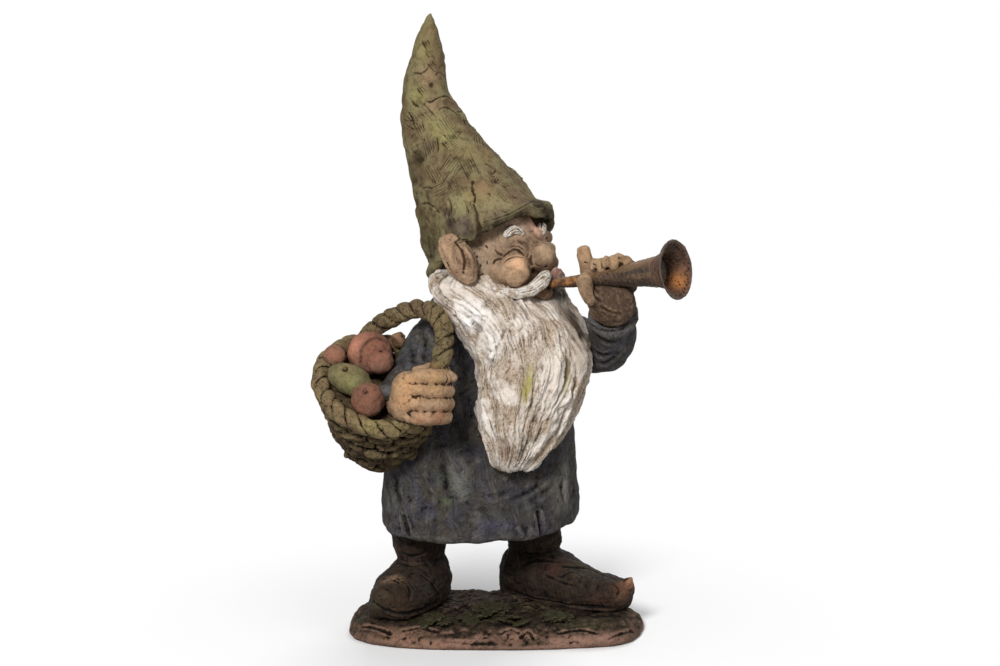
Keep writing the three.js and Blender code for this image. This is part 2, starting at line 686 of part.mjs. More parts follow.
const BELL_START = HORN_LENGTH - HORN_BELL_LENGTH;
const hornTube = piece("horn_tube", COLOURS.rust, horn, (grow) => {
  const swell = HORN_TUBE_RADIUS - HORN_MOUTH_RADIUS;
  const bore = HORN_TUBE_RADIUS - HORN_WALL;
  const outside = [
    [0, -grow],
    [HORN_MOUTH_RADIUS * 0.8 + grow, -grow],
    [HORN_MOUTH_RADIUS + grow, HORN_WALL],
    [HORN_MOUTH_RADIUS * 1.07 + grow, BELL_START * 0.28],
    [HORN_MOUTH_RADIUS + swell * 0.22 + grow, BELL_START * 0.52],
    [HORN_MOUTH_RADIUS + swell * 0.52 + grow, BELL_START * 0.76],
    [HORN_MOUTH_RADIUS + swell * 0.76 + grow, BELL_START * 0.92],
    [HORN_TUBE_RADIUS + grow, BELL_START + grow],
  ];
  const inside = [
    [bore, BELL_START],
    [bore * 0.6, BELL_START * 0.92],
    [0, BELL_START * 0.8],
  ];
  return turned([...outside, ...(grow > 0 ? [[0, BELL_START + grow]] : inside)], 12).rotateX(Math.PI);
});
const hornBell = piece("horn_bell", COLOURS.rust, horn, (grow) => {
  const start = BELL_START + CLEARANCE;
  const flare = [0, 0.45, 0.75, 1];
  const radiusAt = (share) => HORN_TUBE_RADIUS + (HORN_BELL_RADIUS - HORN_TUBE_RADIUS) * share ** 2.2;
  const heightAt = (share) => start + share * (HORN_LENGTH - start);
  const outside = flare.map((share) => [radiusAt(share) + grow, heightAt(share)]);
  const inside = flare.map((share) => [radiusAt(share) - HORN_WALL, heightAt(share)]).reverse();
  return turned([...outside, ...inside, outside[0]], 18).rotateX(Math.PI);
});

// Sleeves and cuffs, on lines from the shoulders to the two grips

const fistGrip = inFigure(basket, hoop.getPoint(HANDLE_GRIP));
const hornGrip = inFigure(horn, new Vector3(0, -HORN_GRIP, 0));
// A place beside and in front of the collar, in shares of the shoulder's half width, and below it, in
// shares of the tunic's height.
const fromCollar = (aside, forward, drop) => [
  aside * SHOULDER_HALF_WIDTH,
  -forward * SHOULDER_HALF_WIDTH,
  TUNIC_TOP - drop * TUNIC_HEIGHT,
];
// A place beside, behind and below a grip, in shares of the wrist's radius.
const fromGrip = (grip, aside, back, drop) => [
  grip.x + aside * WRIST_RADIUS,
  grip.y + back * WRIST_RADIUS,
  grip.z - drop * WRIST_RADIUS,
];
const rightArm = through([
  fromCollar(-0.34, 0.14, 0.16),
  fromCollar(-0.756, 0.34, 0.2109),
  fromCollar(-1.195, 0.707, 0.3086),
  fromGrip(fistGrip, -1.12, 2.25, 0.97),
]);
const leftArm = through([
  fromCollar(0.83, 0.12, 0.1656),
  fromCollar(1.415, 0.44, 0.2572),
  fromCollar(1.83, 0.88, 0.2915),
  fromCollar(1.9, 1.29, 0.2287),
  fromGrip(hornGrip, 0.99, 1.38, 3.01),
]);
const sleeveForm = (arm, taper, rings, grow) => {
  const folds = (share, turn) => 1 + 0.05 * Math.sin(11 * share + 2 * turn);
  const radiusAt = (share, turn) => SLEEVE_RADIUS * (1 - taper * share) * folds(share, turn);
  return swept(arm, radiusAt, 12, rings, grow);
};
const rightSleeve = piece("right_sleeve", COLOURS.cloth, figure, (grow) =>
  sleeveForm(rightArm, RIGHT_SLEEVE_TAPER, 6, grow),
);
const leftSleeve = piece("left_sleeve", COLOURS.cloth, figure, (grow) =>
  sleeveForm(leftArm, LEFT_SLEEVE_TAPER, 8, grow),
);

// A cuff is an open ring on the end of an arm's line.
function cuffForm(arm, taper, grow) {
  const outer = SLEEVE_RADIUS * (1 - taper) + CUFF_WALL * 0.6 + grow;
  const inner = WRIST_RADIUS + CLEARANCE;
  const half = CUFF_LENGTH / 2;
  const profile = [
    [inner, -half - grow],
    [outer, -half - grow],
    [outer + CUFF_WALL * 0.4, 0],
    [outer, half + grow],
    [inner, half + grow],
    [inner, -half - grow],
  ];
  const along = arm.getTangent(1);
  const place = new THREE.Matrix4().makeRotationFromQuaternion(
    new THREE.Quaternion().setFromUnitVectors(new Vector3(0, 1, 0), along),
  );
  place.setPosition(arm.getPoint(1).addScaledVector(along, half + CLEARANCE));
  return turned(profile, 12).applyMatrix4(place);
}
const rightCuff = piece("right_cuff", COLOURS.cloth, figure, (grow) =>
  cuffForm(rightArm, RIGHT_SLEEVE_TAPER, grow),
);
const leftCuff = piece("left_cuff", COLOURS.cloth, figure, (grow) =>
  cuffForm(leftArm, LEFT_SLEEVE_TAPER, grow),
);

// Hands, whose places and half sizes are in multiples of a finger's radius

const inFingers = (...row) => row.map((value) => value * FINGER_RADIUS);
const digit = (rows, grow) =>
  roll(through(rows.map((row) => inFingers(...row))), () => FINGER_RADIUS, 0.16, 6, 4, grow);
const palm = (size, middle, grow) => egg(inFingers(...size), 9, 7, grow, inFingers(...middle));
const wrist = (from, to, grow) =>
  swept(through([inFingers(...from), to.toArray()]), () => WRIST_RADIUS, 8, 1, grow);

// The right fist grips the basket's handle, with its fingers across the front.
const rightFist = new THREE.Group();
rightFist.position.copy(fistGrip);
rightFist.rotation.z = -FIGURE_TURN;
figure.add(rightFist);
rightFist.updateMatrixWorld(true);
const rightHand = piece("right_hand", COLOURS.skin, rightFist, (grow) => {
  const armEnd = rightFist.worldToLocal(figure.localToWorld(rightArm.getPoint(1)));
  const fingers = [0, 1, 2, 3].map((i) => {
    const up = (1.5 - i) * FINGER_PITCH;
    const tip = 3.55 - i * 0.22;
    const bend = [[tip - 1.8, -2.33, up], [tip - 0.45, -1.1, up], [tip - 0.65, 0.67, up]];
    return digit([[-3.33, -0.9, up], [-1.55, -2.2, up], ...bend], grow);
  });
  const thumb = digit([[-2.2, 1.1, 2.67], [0, 2.45, 3.33], [2, 2.45, 3.1], [3.55, 1.1, 2.9]], grow);
  const hand = palm([2.9, 2.2, 3.55], [-1.8, 0.22, 0], grow);
  return joined([hand, wrist([-2.2, 0.45, 0], armEnd, grow), ...fingers, thumb]);
});

// The left hand holds the horn from below: three fingers over it, the index raised and the thumb in front.
const leftGrip = new THREE.Group();
leftGrip.position.set(0, -HORN_GRIP, 0);
horn.add(leftGrip);
leftGrip.updateMatrixWorld(true);
const leftHand = piece("left_hand", COLOURS.skin, leftGrip, (grow) => {
  const armEnd = leftGrip.worldToLocal(figure.localToWorld(leftArm.getPoint(1)));
  const curled = [0, 1, 2].map((i) => {
    const along = 1.1 - HORN_FINGER_PITCH * i;
    const over = 2.29 + i * 0.155;
    const bend = [[1.9, along, over * 0.8], [0, along, over], [-1.45, along, over * 0.72]];
    return digit([[1.6, along * 0.75, -3.3], [2.8, along, -0.2], ...bend], grow);
  });
  const index = digit([[1.55, 2.67, -2.67], [2.33, 3.55, 0], [1.9, 4, 2.67], [1.1, 4.45, 4.9]], grow);
  const thumb = digit([[-0.45, 0.45, -3.8], [-2, 1.8, -2.45], [-2.2, 2.67, -0.67], [-1.8, 2.9, 0.9]], grow);
  const hand = palm([2.45, HORN_FINGER_PITCH * 1.92, 3.33], [1.1, 0.45, -4], grow);
  return joined([hand, wrist([1.1, 0, -4.45], armEnd, grow), ...curled, index, thumb]);
});

// Seats, from the pieces that keep their whole form to those that are pressed on them

gnome.updateMatrixWorld(true);

const [right, left] = features;
for (const { boot, leg, dowel } of limbs) {
  carve(boot, leg, dowel);
  carve(leg, dowel);
  carve(plinth, dowel);
  carve(tunic, dowel, leg);
}
for (const leaf of leaves) carve(leaf, ...limbs.map(({ boot }) => boot));
carve(tunic, head);
carve(nose, head);
for (const { cheek, eye, ear, brow, moustache } of features) {
  carve(cheek, head, nose);
  carve(eye, head, cheek, nose);
  carve(brow, head, hat, brim, eye);
  carve(moustache, head, cheek, nose, hornTube);
  carve(ear, head, hat, brim, cheek);
}
carve(left.moustache, right.moustache);
carve(lip, head, hornTube, right.moustache, left.moustache);
carve(hat, head, brim);
carve(brim, head);
carve(rightSleeve, tunic, beard, rim, bowl, handle);
carve(leftSleeve, tunic, beard);
carve(beard, head, tunic, hat, brim, lip, hornTube, handle);
for (const { cheek, ear, moustache } of features) carve(beard, cheek, ear, moustache);
carve(rim, tunic);
carve(bowl, rim, tunic);
carve(handle, rim);
fruit.forEach((item, i) => carve(item, bowl, rim, ...fruit.slice(0, i)));
for (const item of fruit) carve(item, handle, rightSleeve, rightCuff, rightHand);
carve(rightHand, rightSleeve, rightCuff, handle, rim, bowl);
carve(leftHand, leftSleeve, leftCuff, hornTube);
carve(rightCuff, rim, bowl, handle);

export default gnome;
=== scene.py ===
# %% [markdown]
# # A garden gnome in painted clay
# The real figure is modelled by hand in clay, fired, and painted with thin washes that are wiped off the
# high places. So this lesson works as its maker did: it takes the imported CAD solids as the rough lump,
# knits neighbours into one skin, presses marks into that skin, and then lays on washes and dry rubs of
# paint.

import math

import bmesh
import bpy
import numpy as np
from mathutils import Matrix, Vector
from mathutils.bvhtree import BVHTree


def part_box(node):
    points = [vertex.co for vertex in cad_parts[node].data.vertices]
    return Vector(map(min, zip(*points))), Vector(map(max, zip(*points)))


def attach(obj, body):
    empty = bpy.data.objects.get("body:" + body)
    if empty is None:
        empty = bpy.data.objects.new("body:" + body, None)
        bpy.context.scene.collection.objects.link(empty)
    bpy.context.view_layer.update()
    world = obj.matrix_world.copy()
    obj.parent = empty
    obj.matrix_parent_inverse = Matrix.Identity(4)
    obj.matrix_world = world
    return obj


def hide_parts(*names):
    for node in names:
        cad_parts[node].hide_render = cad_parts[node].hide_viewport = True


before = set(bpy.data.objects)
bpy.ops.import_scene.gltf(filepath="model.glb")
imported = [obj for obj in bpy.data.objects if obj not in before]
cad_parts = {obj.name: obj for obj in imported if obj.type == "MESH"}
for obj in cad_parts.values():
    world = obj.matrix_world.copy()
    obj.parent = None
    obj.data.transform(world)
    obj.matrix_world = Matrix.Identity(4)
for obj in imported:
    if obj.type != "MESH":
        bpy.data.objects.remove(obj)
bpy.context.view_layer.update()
MM = 0.001

# %% [markdown]
# ## The eye
# Marks are easiest to place where the photograph shows them. An eye stands where the camera stood and turns
# a place in the picture into a ray, so a mark lands on the skin itself and stays there from every side.
# Places typed in space would do too, but they are hard to check against the picture.

# %% Camera and eye
AIM = np.array([5.0, 0.0, 205.0])
DISTANCE = 2200.0
ELEVATION = math.radians(11.0)
FOCAL = 3273.0
PICTURE_WIDTH = 1000
MIDDLE_ACROSS = 500
MIDDLE_DOWN = 333
PIXELS_PER_MM = 1.488
SENSOR = 36


class Eye:
    """The camera's point of view, with rays through places in a 1000 by 666 picture."""

    def __init__(self):
        self.back = np.array([0.0, -math.cos(ELEVATION), math.sin(ELEVATION)])
        self.right = np.array([1.0, 0.0, 0.0])
        self.up = np.cross(self.right, -self.back)
        self.place = AIM + self.back * DISTANCE

    def ray(self, across, down):
        aside = self.right * (across - MIDDLE_ACROSS) / FOCAL
        return aside + self.up * (MIDDLE_DOWN - down) / FOCAL - self.back

    def picture(self, points):
        """Where points in millimetres fall in the picture."""
        seen = points - self.place
        depth = -seen @ self.back
        across = MIDDLE_ACROSS + FOCAL * (seen @ self.right) / depth
        down = MIDDLE_DOWN - FOCAL * (seen @ self.up) / depth
        return np.stack([across, down], 1)


FRONT = Eye()
scene = bpy.context.scene
camera = bpy.data.objects.new("camera", bpy.data.cameras.new("camera"))
scene.collection.objects.link(camera)
camera.data.sensor_width = SENSOR
camera.data.lens = SENSOR * FOCAL / PICTURE_WIDTH
camera.data.clip_end = 20
camera.location = Vector(FRONT.place) * MM
camera.rotation_euler = Vector(-FRONT.back).to_track_quat("-Z", "Y").to_euler()
scene.camera = camera
print("camera", [round(v, 3) for v in camera.location], "lens", round(camera.data.lens, 1))

# %% [markdown]
# ## Noise, lines and colours
# Hand-worked clay is uneven at every size. Blender has noise for textures, but points are moved here in
# numpy, so a small lattice of random numbers gives smooth noise for a hundred thousand points at once. A
# line drawn by hand has no corners either, so it runs smoothly through a few of them.

# %% Noise, lines and colours
LATTICE_SIZE = 32
LATTICE = np.random.default_rng(5).random((LATTICE_SIZE, LATTICE_SIZE, LATTICE_SIZE))
TWIST = np.linalg.qr(np.random.default_rng(2).normal(size=(3, 3)))[0]


def cloud(points, size):
    """Smooth noise from -1 to 1, with lumps about as wide as size."""
    place = points / size
    cell = np.floor(place).astype(int)
    part = place - cell
    part = part * part * (3 - 2 * part)
    total = np.zeros(len(points))
    for corner in range(8):
        step = np.array([corner & 1, corner >> 1 & 1, corner >> 2 & 1])
        index = (cell + step) % LATTICE_SIZE
        share = np.prod(np.where(step, part, 1 - part), axis=1)
        total += share * LATTICE[index[:, 0], index[:, 1], index[:, 2]]
    return total * 2 - 1


def smooth(low, high, value):
    """A soft step from 0 at low to 1 at high."""
    share = np.clip((value - low) / (high - low), 0, 1)
    return share * share * (3 - 2 * share)


def rounded(corners, step):
    """A Catmull-Rom line through a few corners, with a point about every step."""
    corners = np.asarray(corners, float)
    ends = np.vstack([2 * corners[0] - corners[1], corners, 2 * corners[-1] - corners[-2]])
    line = []
    for first, start, stop, last in zip(ends, ends[1:], ends[2:], ends[3:]):
        count = max(2, int(np.linalg.norm(stop - start) / step))
        share = np.linspace(0, 1, count, endpoint=False)[:, None]
        bend = (2 * start) + (stop - first) * share
        bend = bend + (2 * first - 5 * start + 4 * stop - last) * share**2
        line.append((bend + (3 * start - first - 3 * stop + last) * share**3) / 2)
    return np.vstack([*line, corners[-1:]])


def linear(colour):
    """The light of a colour written as it looks, such as 6d6a45."""
    shown = [int(colour[i : i + 2], 16) / 255 for i in (0, 2, 4)]
    return [v / 12.92 if v <= 0.04045 else ((v + 0.055) / 1.055) ** 2.4 for v in shown]


print("noise lattice", LATTICE.shape)

# %% [markdown]
# ## The lump
# CAD solids meet at thin gaps, and their faces are flat. Clay doesn't look like that: a nose is smeared
# into its face. A voxel remesh knits copies of several nodes into one even skin, which has a point about
# every half millimetre to a millimetre, and numpy moves those points. Sculpt mode would do the same by
# hand, but moves written down in code can be read, changed and run again.

# %% A knitted lump
class Lump:
    """Copies of CAD nodes knitted into one skin, whose points are in millimetres."""

    def __init__(self, name, nodes, voxel=0.5, swell=0.4, ease=10, form=None, extra=None):
        self.name = name
        self.nodes = nodes
        if form is None:
            form = extra or bmesh.new()
            for node in nodes:
                form.from_mesh(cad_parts[node].data)
            bmesh.ops.remove_doubles(form, verts=form.verts, dist=1e-6)
            form.normal_update()
            for point in form.verts:
                point.co += point.normal * swell * MM
            self.mesh = self.knit(form, voxel)
        else:
            self.mesh = bpy.data.meshes.new(name)
            form.to_mesh(self.mesh)
            form.free()
        self.read()
        self.ease(ease)

    def read(self):
        """Take the skin's points and edges from its mesh."""
        count = len(self.mesh.vertices)
        self.points = np.empty(count * 3)
        self.mesh.vertices.foreach_get("co", self.points)
        self.points = self.points.reshape(-1, 3) / MM
        self.edges = np.empty(len(self.mesh.edges) * 2, int)
        self.mesh.edges.foreach_get("vertices", self.edges)
        self.edges = self.edges.reshape(-1, 2)
        self.valence = np.bincount(self.edges.ravel(), minlength=count)
        self.tint = np.zeros((count, 4))
        self.settle()

    def knit(self, form, voxel):
        """One even skin round everything in a form."""
        mesh = bpy.data.meshes.new(self.name)
        form.to_mesh(mesh)
        form.free()
        lump = bpy.data.objects.new("lump", mesh)
        scene.collection.objects.link(lump)
        remesh = lump.modifiers.new("knit", "REMESH")
        remesh.mode = "VOXEL"
        remesh.voxel_size = voxel * MM
        lump = lump.evaluated_get(bpy.context.evaluated_depsgraph_get())
        skin = bpy.data.meshes.new_from_object(lump)
        bpy.data.objects.remove(bpy.data.objects["lump"])
        bpy.data.meshes.remove(mesh)
        form = bmesh.new()
        form.from_mesh(skin)
        self.keep_largest(form, skin)
        form.to_mesh(skin)
        form.free()
        skin.name = self.name
        return skin

    def keep_largest(self, form, skin):
        """Hollows that the knitting shut in are bodies of their own, and are taken out."""
        edges = np.empty(len(skin.edges) * 2, int)
        skin.edges.foreach_get("vertices", edges)
        first, second = edges.reshape(-1, 2).T
        label = np.arange(len(skin.vertices))
        while True:
            low = np.minimum(label[first], label[second])
            fresh = label.copy()
            np.minimum.at(fresh, first, low)
            np.minimum.at(fresh, second, low)
            fresh = fresh[fresh]
            if (fresh == label).all():
                break
            label = fresh
        main = np.bincount(label).argmax()
        form.verts.ensure_lookup_table()
        loose = [form.verts[i] for i in np.flatnonzero(label != main)]
        bmesh.ops.delete(form, geom=loose, context="VERTS")

    def around(self, values):
        """The mean of each point's neighbours."""
        first, second = self.edges.T
        rows = values.reshape(len(values), -1).T
        count = len(values)
        total = []
        for row in rows:
            total.append(np.bincount(first, row[second], count) + np.bincount(second, row[first], count))
        return (np.stack(total, 1) / self.valence[:, None]).reshape(values.shape)

    def ease(self, rounds, where=1.0):
        """Thumb the facets smooth, everywhere or by a share at each point."""
        where = 0.5 * np.broadcast_to(where, len(self.points))[:, None]
        for _ in range(rounds):
            self.points += where * (self.around(self.points) - self.points)
        self.settle()

    def settle(self):
        """Give the moved points back to the mesh, and take its new normals."""
        self.mesh.vertices.foreach_set("co", (self.points * MM).ravel())
        self.mesh.update()
        normals = np.empty(len(self.points) * 3)
        self.mesh.vertex_normals.foreach_get("vector", normals)
        self.normals = normals.reshape(-1, 3)
        self.tree = None

    def fill(self, rounds, where=1.0):
        """Thumb clay into the hollows, so that pellets smear into what carries them."""
        for _ in range(rounds):
            lift = np.einsum("ij,ij->i", self.around(self.points) - self.points, self.normals)
            self.points += self.normals * (np.maximum(lift, 0) * 0.5 * where)[:, None]
        self.settle()

    def refine(self, where):
        """Split faces in two each way where finer marks are to come."""
        form = bmesh.new()
        form.from_mesh(self.mesh)
        edges = [edge for edge in form.edges if all(where[end.index] for end in edge.verts)]
        bmesh.ops.subdivide_edges(form, edges=edges, cuts=1, use_grid_fill=True)
        form.to_mesh(self.mesh)
        form.free()
        self.read()


# %% [markdown]
# ## Places on the skin
# A mark needs its place on the skin and the way the skin faces there. Rays from the eye find them for what
# the photograph shows, and the nearest skin finds them for lines laid at random on the other sides.
# Blender's tree of faces answers both, and it is built anew only when the skin has moved.

# %% Places on the skin
class Surface(Lump):
    """A lump with ways to find places on its skin."""

    def skin_tree(self):
        """The tree of the skin's faces, built anew when the skin has moved."""
        if self.tree is None:
            form = bmesh.new()
            form.from_mesh(self.mesh)
            self.tree = BVHTree.FromBMesh(form)
            form.free()
        return self.tree

    def shot(self, start, ray):
        """The place and the normal where a ray meets the skin, or None."""
        place, normal, _, _ = self.skin_tree().ray_cast(Vector(start) * MM, Vector(ray))
        return None if place is None else np.array([*(place / MM), *normal])

    def hit(self, across, down):
        """What a place in the picture shows of the skin."""
        return self.shot(FRONT.place, FRONT.ray(across, down))

    def cling(self, places):
        """Places drawn to the nearest skin, as rows of place and normal."""
        found = [self.skin_tree().find_nearest(Vector(place) * MM) for place in places]
        return np.array([[*(place / MM), *normal] for place, normal, _, _ in found])

    def lay(self, number, angle, length, offset=0.0, bend=0.0):
        """A line through a point of the skin, turned by an angle from the level."""
        normal = self.normals[number]
        level = np.cross(normal, [0, 0, 1]) + [1e-6, 0, 0]
        level /= np.linalg.norm(level)
        ahead = math.cos(angle) * level + math.sin(angle) * np.cross(level, normal)
        aside = np.cross(normal, ahead)
        share = np.linspace(-0.5, 0.5, max(4, int(length / 1.2)))[:, None]
        return self.cling(self.points[number] + ahead * share * length + aside * (offset + bend * share**2))

    def trace(self, corners):
        """A line of the picture laid on the skin, as rows of place and normal."""
        found = [self.hit(across, down) for across, down in rounded(corners, 1.0)]
        return np.array([row for row in found if row is not None])

    def beside(self, path, reach):
        """The points near a path: their numbers, gaps from it and shares along it."""
        places = path[:, :3]
        if len(path) > 2:
            pace = np.linalg.norm(np.diff(places, axis=0), axis=1).mean()
            path = np.vstack([path[: -1 : max(1, int(0.3 * reach / max(pace, 1e-6)))], path[-1:]])
            places = path[:, :3]
        inside = (self.points > places.min(0) - reach) & (self.points < places.max(0) + reach)
        near = np.flatnonzero(inside.all(1))
        spots = self.points[near]
        gap = np.linalg.norm(spots - places[0], axis=1)
        which = np.zeros(len(near))
        for number in range(len(places) - 1):
            run = places[number + 1] - places[number]
            share = np.clip((spots - places[number]) @ run / max(run @ run, 1e-9), 0, 1)
            away = np.linalg.norm(spots - places[number] - share[:, None] * run, axis=1)
            closer = away < gap
            gap[closer] = away[closer]
            which[closer] = number + share[closer]
        row = np.minimum(which.round().astype(int), len(path) - 1)
        facing = np.einsum("ij,ij->i", self.normals[near], path[row, 3:])
        keep = (gap < reach) & (facing > 0.1)
        return near[keep], gap[keep], which[keep] / max(len(path) - 1, 1)


# %% [markdown]
# ## The tools
# A modeller thumbs lumps, combs strands, drags a pointed stick, and grabs a corner to move it. Each tool
# here moves points along their normals by a share that fades away from the tool, which is what a sculpt
# brush does. A displacement texture would need the marks as pictures.

# %% The tools
class Worked(Surface):
    """A lump under the modeller's tools."""

    def lumps(self, size, height):
        """Uneven clay, with lumps about as wide as size."""
        self.points += self.normals * (cloud(self.points, size) * height)[:, None]

    def combed(self, places, width, depth, share=1.0):
        """Strands with sharp creases between them; places are points drawn together along the grain."""
        height = depth * (2 * np.abs(cloud(places, width)) - 0.6) * share
        self.points += self.normals * height[:, None]

    def crumble(self, size, depth, octaves=3, share=1.0):
        """Rough clay: lumps with sharp creases between them, each round half as large as the last."""
        places = self.points
        for octave in range(octaves):
            places = places @ TWIST + 17
            self.combed(places, size / 2**octave, depth * 0.6**octave, share)

    def pull(self, place, size, move):
        """Move the skin near a place, as a grab brush does."""
        share = np.exp(-((self.points - place[:3]) ** 2).sum(1) / size**2)
        self.points += share[:, None] * np.asarray(move, float)
        self.settle()

    def grab(self, across, down, size, move):
        """Pull what a place in the picture shows."""
        self.pull(self.hit(across, down), size, move)

    def press(self, path, width, depth, lip=0.0, ends=0.25):
        """Draw a tool along a path. A depth below 0 adds a coil."""
        if len(path) < 2:
            return
        near, gap, share = self.beside(path, width * 2.5)
        fade = np.clip(np.minimum(share, 1 - share) / ends, 0, 1) ** 0.6 if ends else 1.0
        push = -depth * np.exp(-((gap / width) ** 2))
        push = push + lip * np.exp(-(((gap - 1.7 * width) / (0.7 * width)) ** 2))
        self.points[near] += self.normals[near] * (push * fade)[:, None]

    def draw(self, lines, lip=0.0, ends=0.25):
        """Press lines: corners in the picture, then width and depth. The lip is a share of the depth."""
        for corners, width, depth in lines:
            self.press(self.trace(corners), width, depth, lip=lip * abs(depth), ends=ends)

    def dent(self, across, down, size, depth):
        """Press a thumb in. A depth below 0 raises a boss."""
        place = self.hit(across, down)
        if place is None:
            return
        near, gap, _ = self.beside(place[None], size * 2.2)
        self.points[near] -= self.normals[near] * (depth * np.exp(-((gap / size) ** 2)))[:, None]


# %% [markdown]
# ## Marks for the paint
# The painter floods a dark wash, wipes it off the high places, and drags a nearly dry brush over the
# ridges. How far a point stands above the skin round it says which of the two it gets. That is measured on
# the finished skin, and kept on its points with the colours that were laid on one by one, so that the paint
# follows the modelling.

# %% Marks for the paint
class Clay(Worked):
    """A worked lump with its marks for the paint, which becomes a piece."""

    def relief(self, rounds):
        """How far each point stands above the skin round it."""
        eased = self.points.copy()
        for _ in range(rounds):
            eased += 0.5 * (self.around(eased) - eased)
        return np.einsum("ij,ij->i", self.points - eased, self.normals)

    def daub(self, near, share, colour):
        """Lay paint on some points, each by its share."""
        share = np.clip(share, 0, 1)[:, None]
        fresh = np.array(linear(colour))
        cover = self.tint[near, 3:]
        total = share + cover * (1 - share)
        mixed = fresh * share + self.tint[near, :3] * cover * (1 - share)
        self.tint[near, :3] = mixed / np.maximum(total, 1e-6)
        self.tint[near, 3:] = total

    def coat(self, share, colour):
        """Lay paint on the whole skin, by a share at each point."""
        self.daub(np.arange(len(self.points)), share, colour)

    def smear(self, path, width, colour, share, ends=0.3):
        """Drag paint along a path."""
        if len(path) < 1:
            return
        near, gap, along = self.beside(path, width * 2.2)
        fade = np.clip(np.minimum(along, 1 - along) / ends, 0, 1) if len(path) > 1 and ends else 1.0
        self.daub(near, share * np.exp(-((gap / width) ** 2)) * fade, colour)

    def streaks(self, rows, ends=0.3):
        """Smear each row: its corners in the picture, then width, colour and share."""
        for corners, width, colour, share in rows:
            self.smear(self.trace(corners), width, colour, share, ends)

    def patch(self, across, down, size, colour, share):
        """Dab paint on what a place in the picture shows."""
        place = self.hit(across, down)
        if place is not None:
            self.smear(place[None], size, colour, share)

    def patches(self, rows):
        """Dab each row: its place in the picture, then size, colour and share."""
        for row in rows:
            self.patch(*row)

    def weather(self, fine=3, broad=24, floor=0.05):
        """Where a wash would gather, and where a dry brush would catch; relief below the floor takes less."""
        self.settle()
        close = self.relief(fine)
        far = self.relief(broad)
        tops = [np.percentile(np.abs(part), 90) for part in (close, far)]
        close = close / max(tops[0], floor)
        far = far / max(tops[1], 4 * floor)
        print(self.name, "relief", [round(float(top), 3) for top in tops], "mm")
        height = 0.55 * close + 0.6 * far
        self.wash = smooth(0.15, 1.3, -height)
        self.rub = smooth(0.15, 1.4, height)

    def finished(self, material, slot):
        """Make the piece an object of its own in place of its nodes."""
        self.settle()
        for name, values in (("wash", self.wash), ("rub", self.rub)):
            self.mesh.attributes.new(name, "FLOAT", "POINT").data.foreach_set("value", values)
        self.mesh.attributes.new("tint", "FLOAT_COLOR", "POINT").data.foreach_set("color", self.tint.ravel())
        self.mesh.materials.clear()
        self.mesh.materials.append(material)
        self.mesh.shade_smooth()
        piece = bpy.data.objects.new(self.name, self.mesh)
        scene.collection.objects.link(piece)
        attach(piece, "root")
        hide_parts(*self.nodes)
        print(self.name, len(self.points), "points")
        return piece


# %% [markdown]
# ## Pellets
# Knuckles, lids and nostrils are pellets of clay, set on the lump before it is knitted. A pellet or a
# string of them is placed in the picture, and its depth is that of the CAD nodes there. Pushing the
# finished skin out would thin it and leave no crease at the pellet's foot, which the knitting keeps.

# %% Pellets
def pellets(nodes, strings, also=None, form=None):
    """A form with balls for each string: corners in the picture, then radius and lift in millimetres."""
    probe = Clay("probe", nodes, 1.2, ease=2)
    form = form or bmesh.new()
    for corners, radius, lift in strings:
        spots = rounded(corners, 2.0) if len(corners) > 1 else np.array(corners, float)
        rays = np.array([FRONT.ray(*spot) for spot in spots])
        found = [probe.shot(FRONT.place, ray) for ray in rays]
        known = [i for i, row in enumerate(found) if row is not None]
        if not known:
            continue
        away = [(FRONT.place - found[i][:3]) @ FRONT.back for i in known]
        away = np.polyval(np.polyfit(known, away, min(2, len(known) - 1)), np.arange(len(spots)))
        places = FRONT.place + rays * away[:, None] - FRONT.back * (radius - lift)
        for place in [*places, *([] if also is None else also(places))]:
            ball = bmesh.ops.create_uvsphere(form, u_segments=16, v_segments=10, radius=radius * MM)
            bmesh.ops.translate(form, verts=ball["verts"], vec=Vector(place) * MM)
    bpy.data.meshes.remove(probe.mesh)
    return form


# %% [markdown]
# ## Sums on sockets
# A material is a net of nodes. Wiring each sum by hand takes three lines and hides what it means, so a wire
# stands for a socket, and writing `1 - mask` adds the Math node.

# %% Sums on sockets
class Wire:
    """A socket that takes part in sums."""

    def __init__(self, paint, socket):
        self.paint = paint
        self.socket = socket

    def sum(self, operation, first, second):
        """The Math node of two values or wires."""
        return self.paint.add("ShaderNodeMath", {"operation": operation}, {0: first, 1: second})

    def __add__(self, other):
        return self.sum("ADD", self, other)

    __radd__ = __add__

    def __mul__(self, other):
        return self.sum("MULTIPLY", self, other)

    __rmul__ = __mul__

    def __sub__(self, other):
        return self.sum("SUBTRACT", self, other)

    def __rsub__(self, other):
        return self.sum("SUBTRACT", other, self)

    def step(self, low, high):
        """A soft step from 0 at low to 1 at high."""
        settings = {"interpolation_type": "SMOOTHSTEP"}
        return self.paint.add("ShaderNodeMapRange", settings, {0: self, 1: low, 2: high})


# %% [markdown]
# ## A material
# One method adds every other node: it sets the node's settings first, and then gives each socket a value or
# a wire. The short methods after it name what a painter asks for, such as noise of a size, or streaks that
# turn from patch to patch as a brush does.

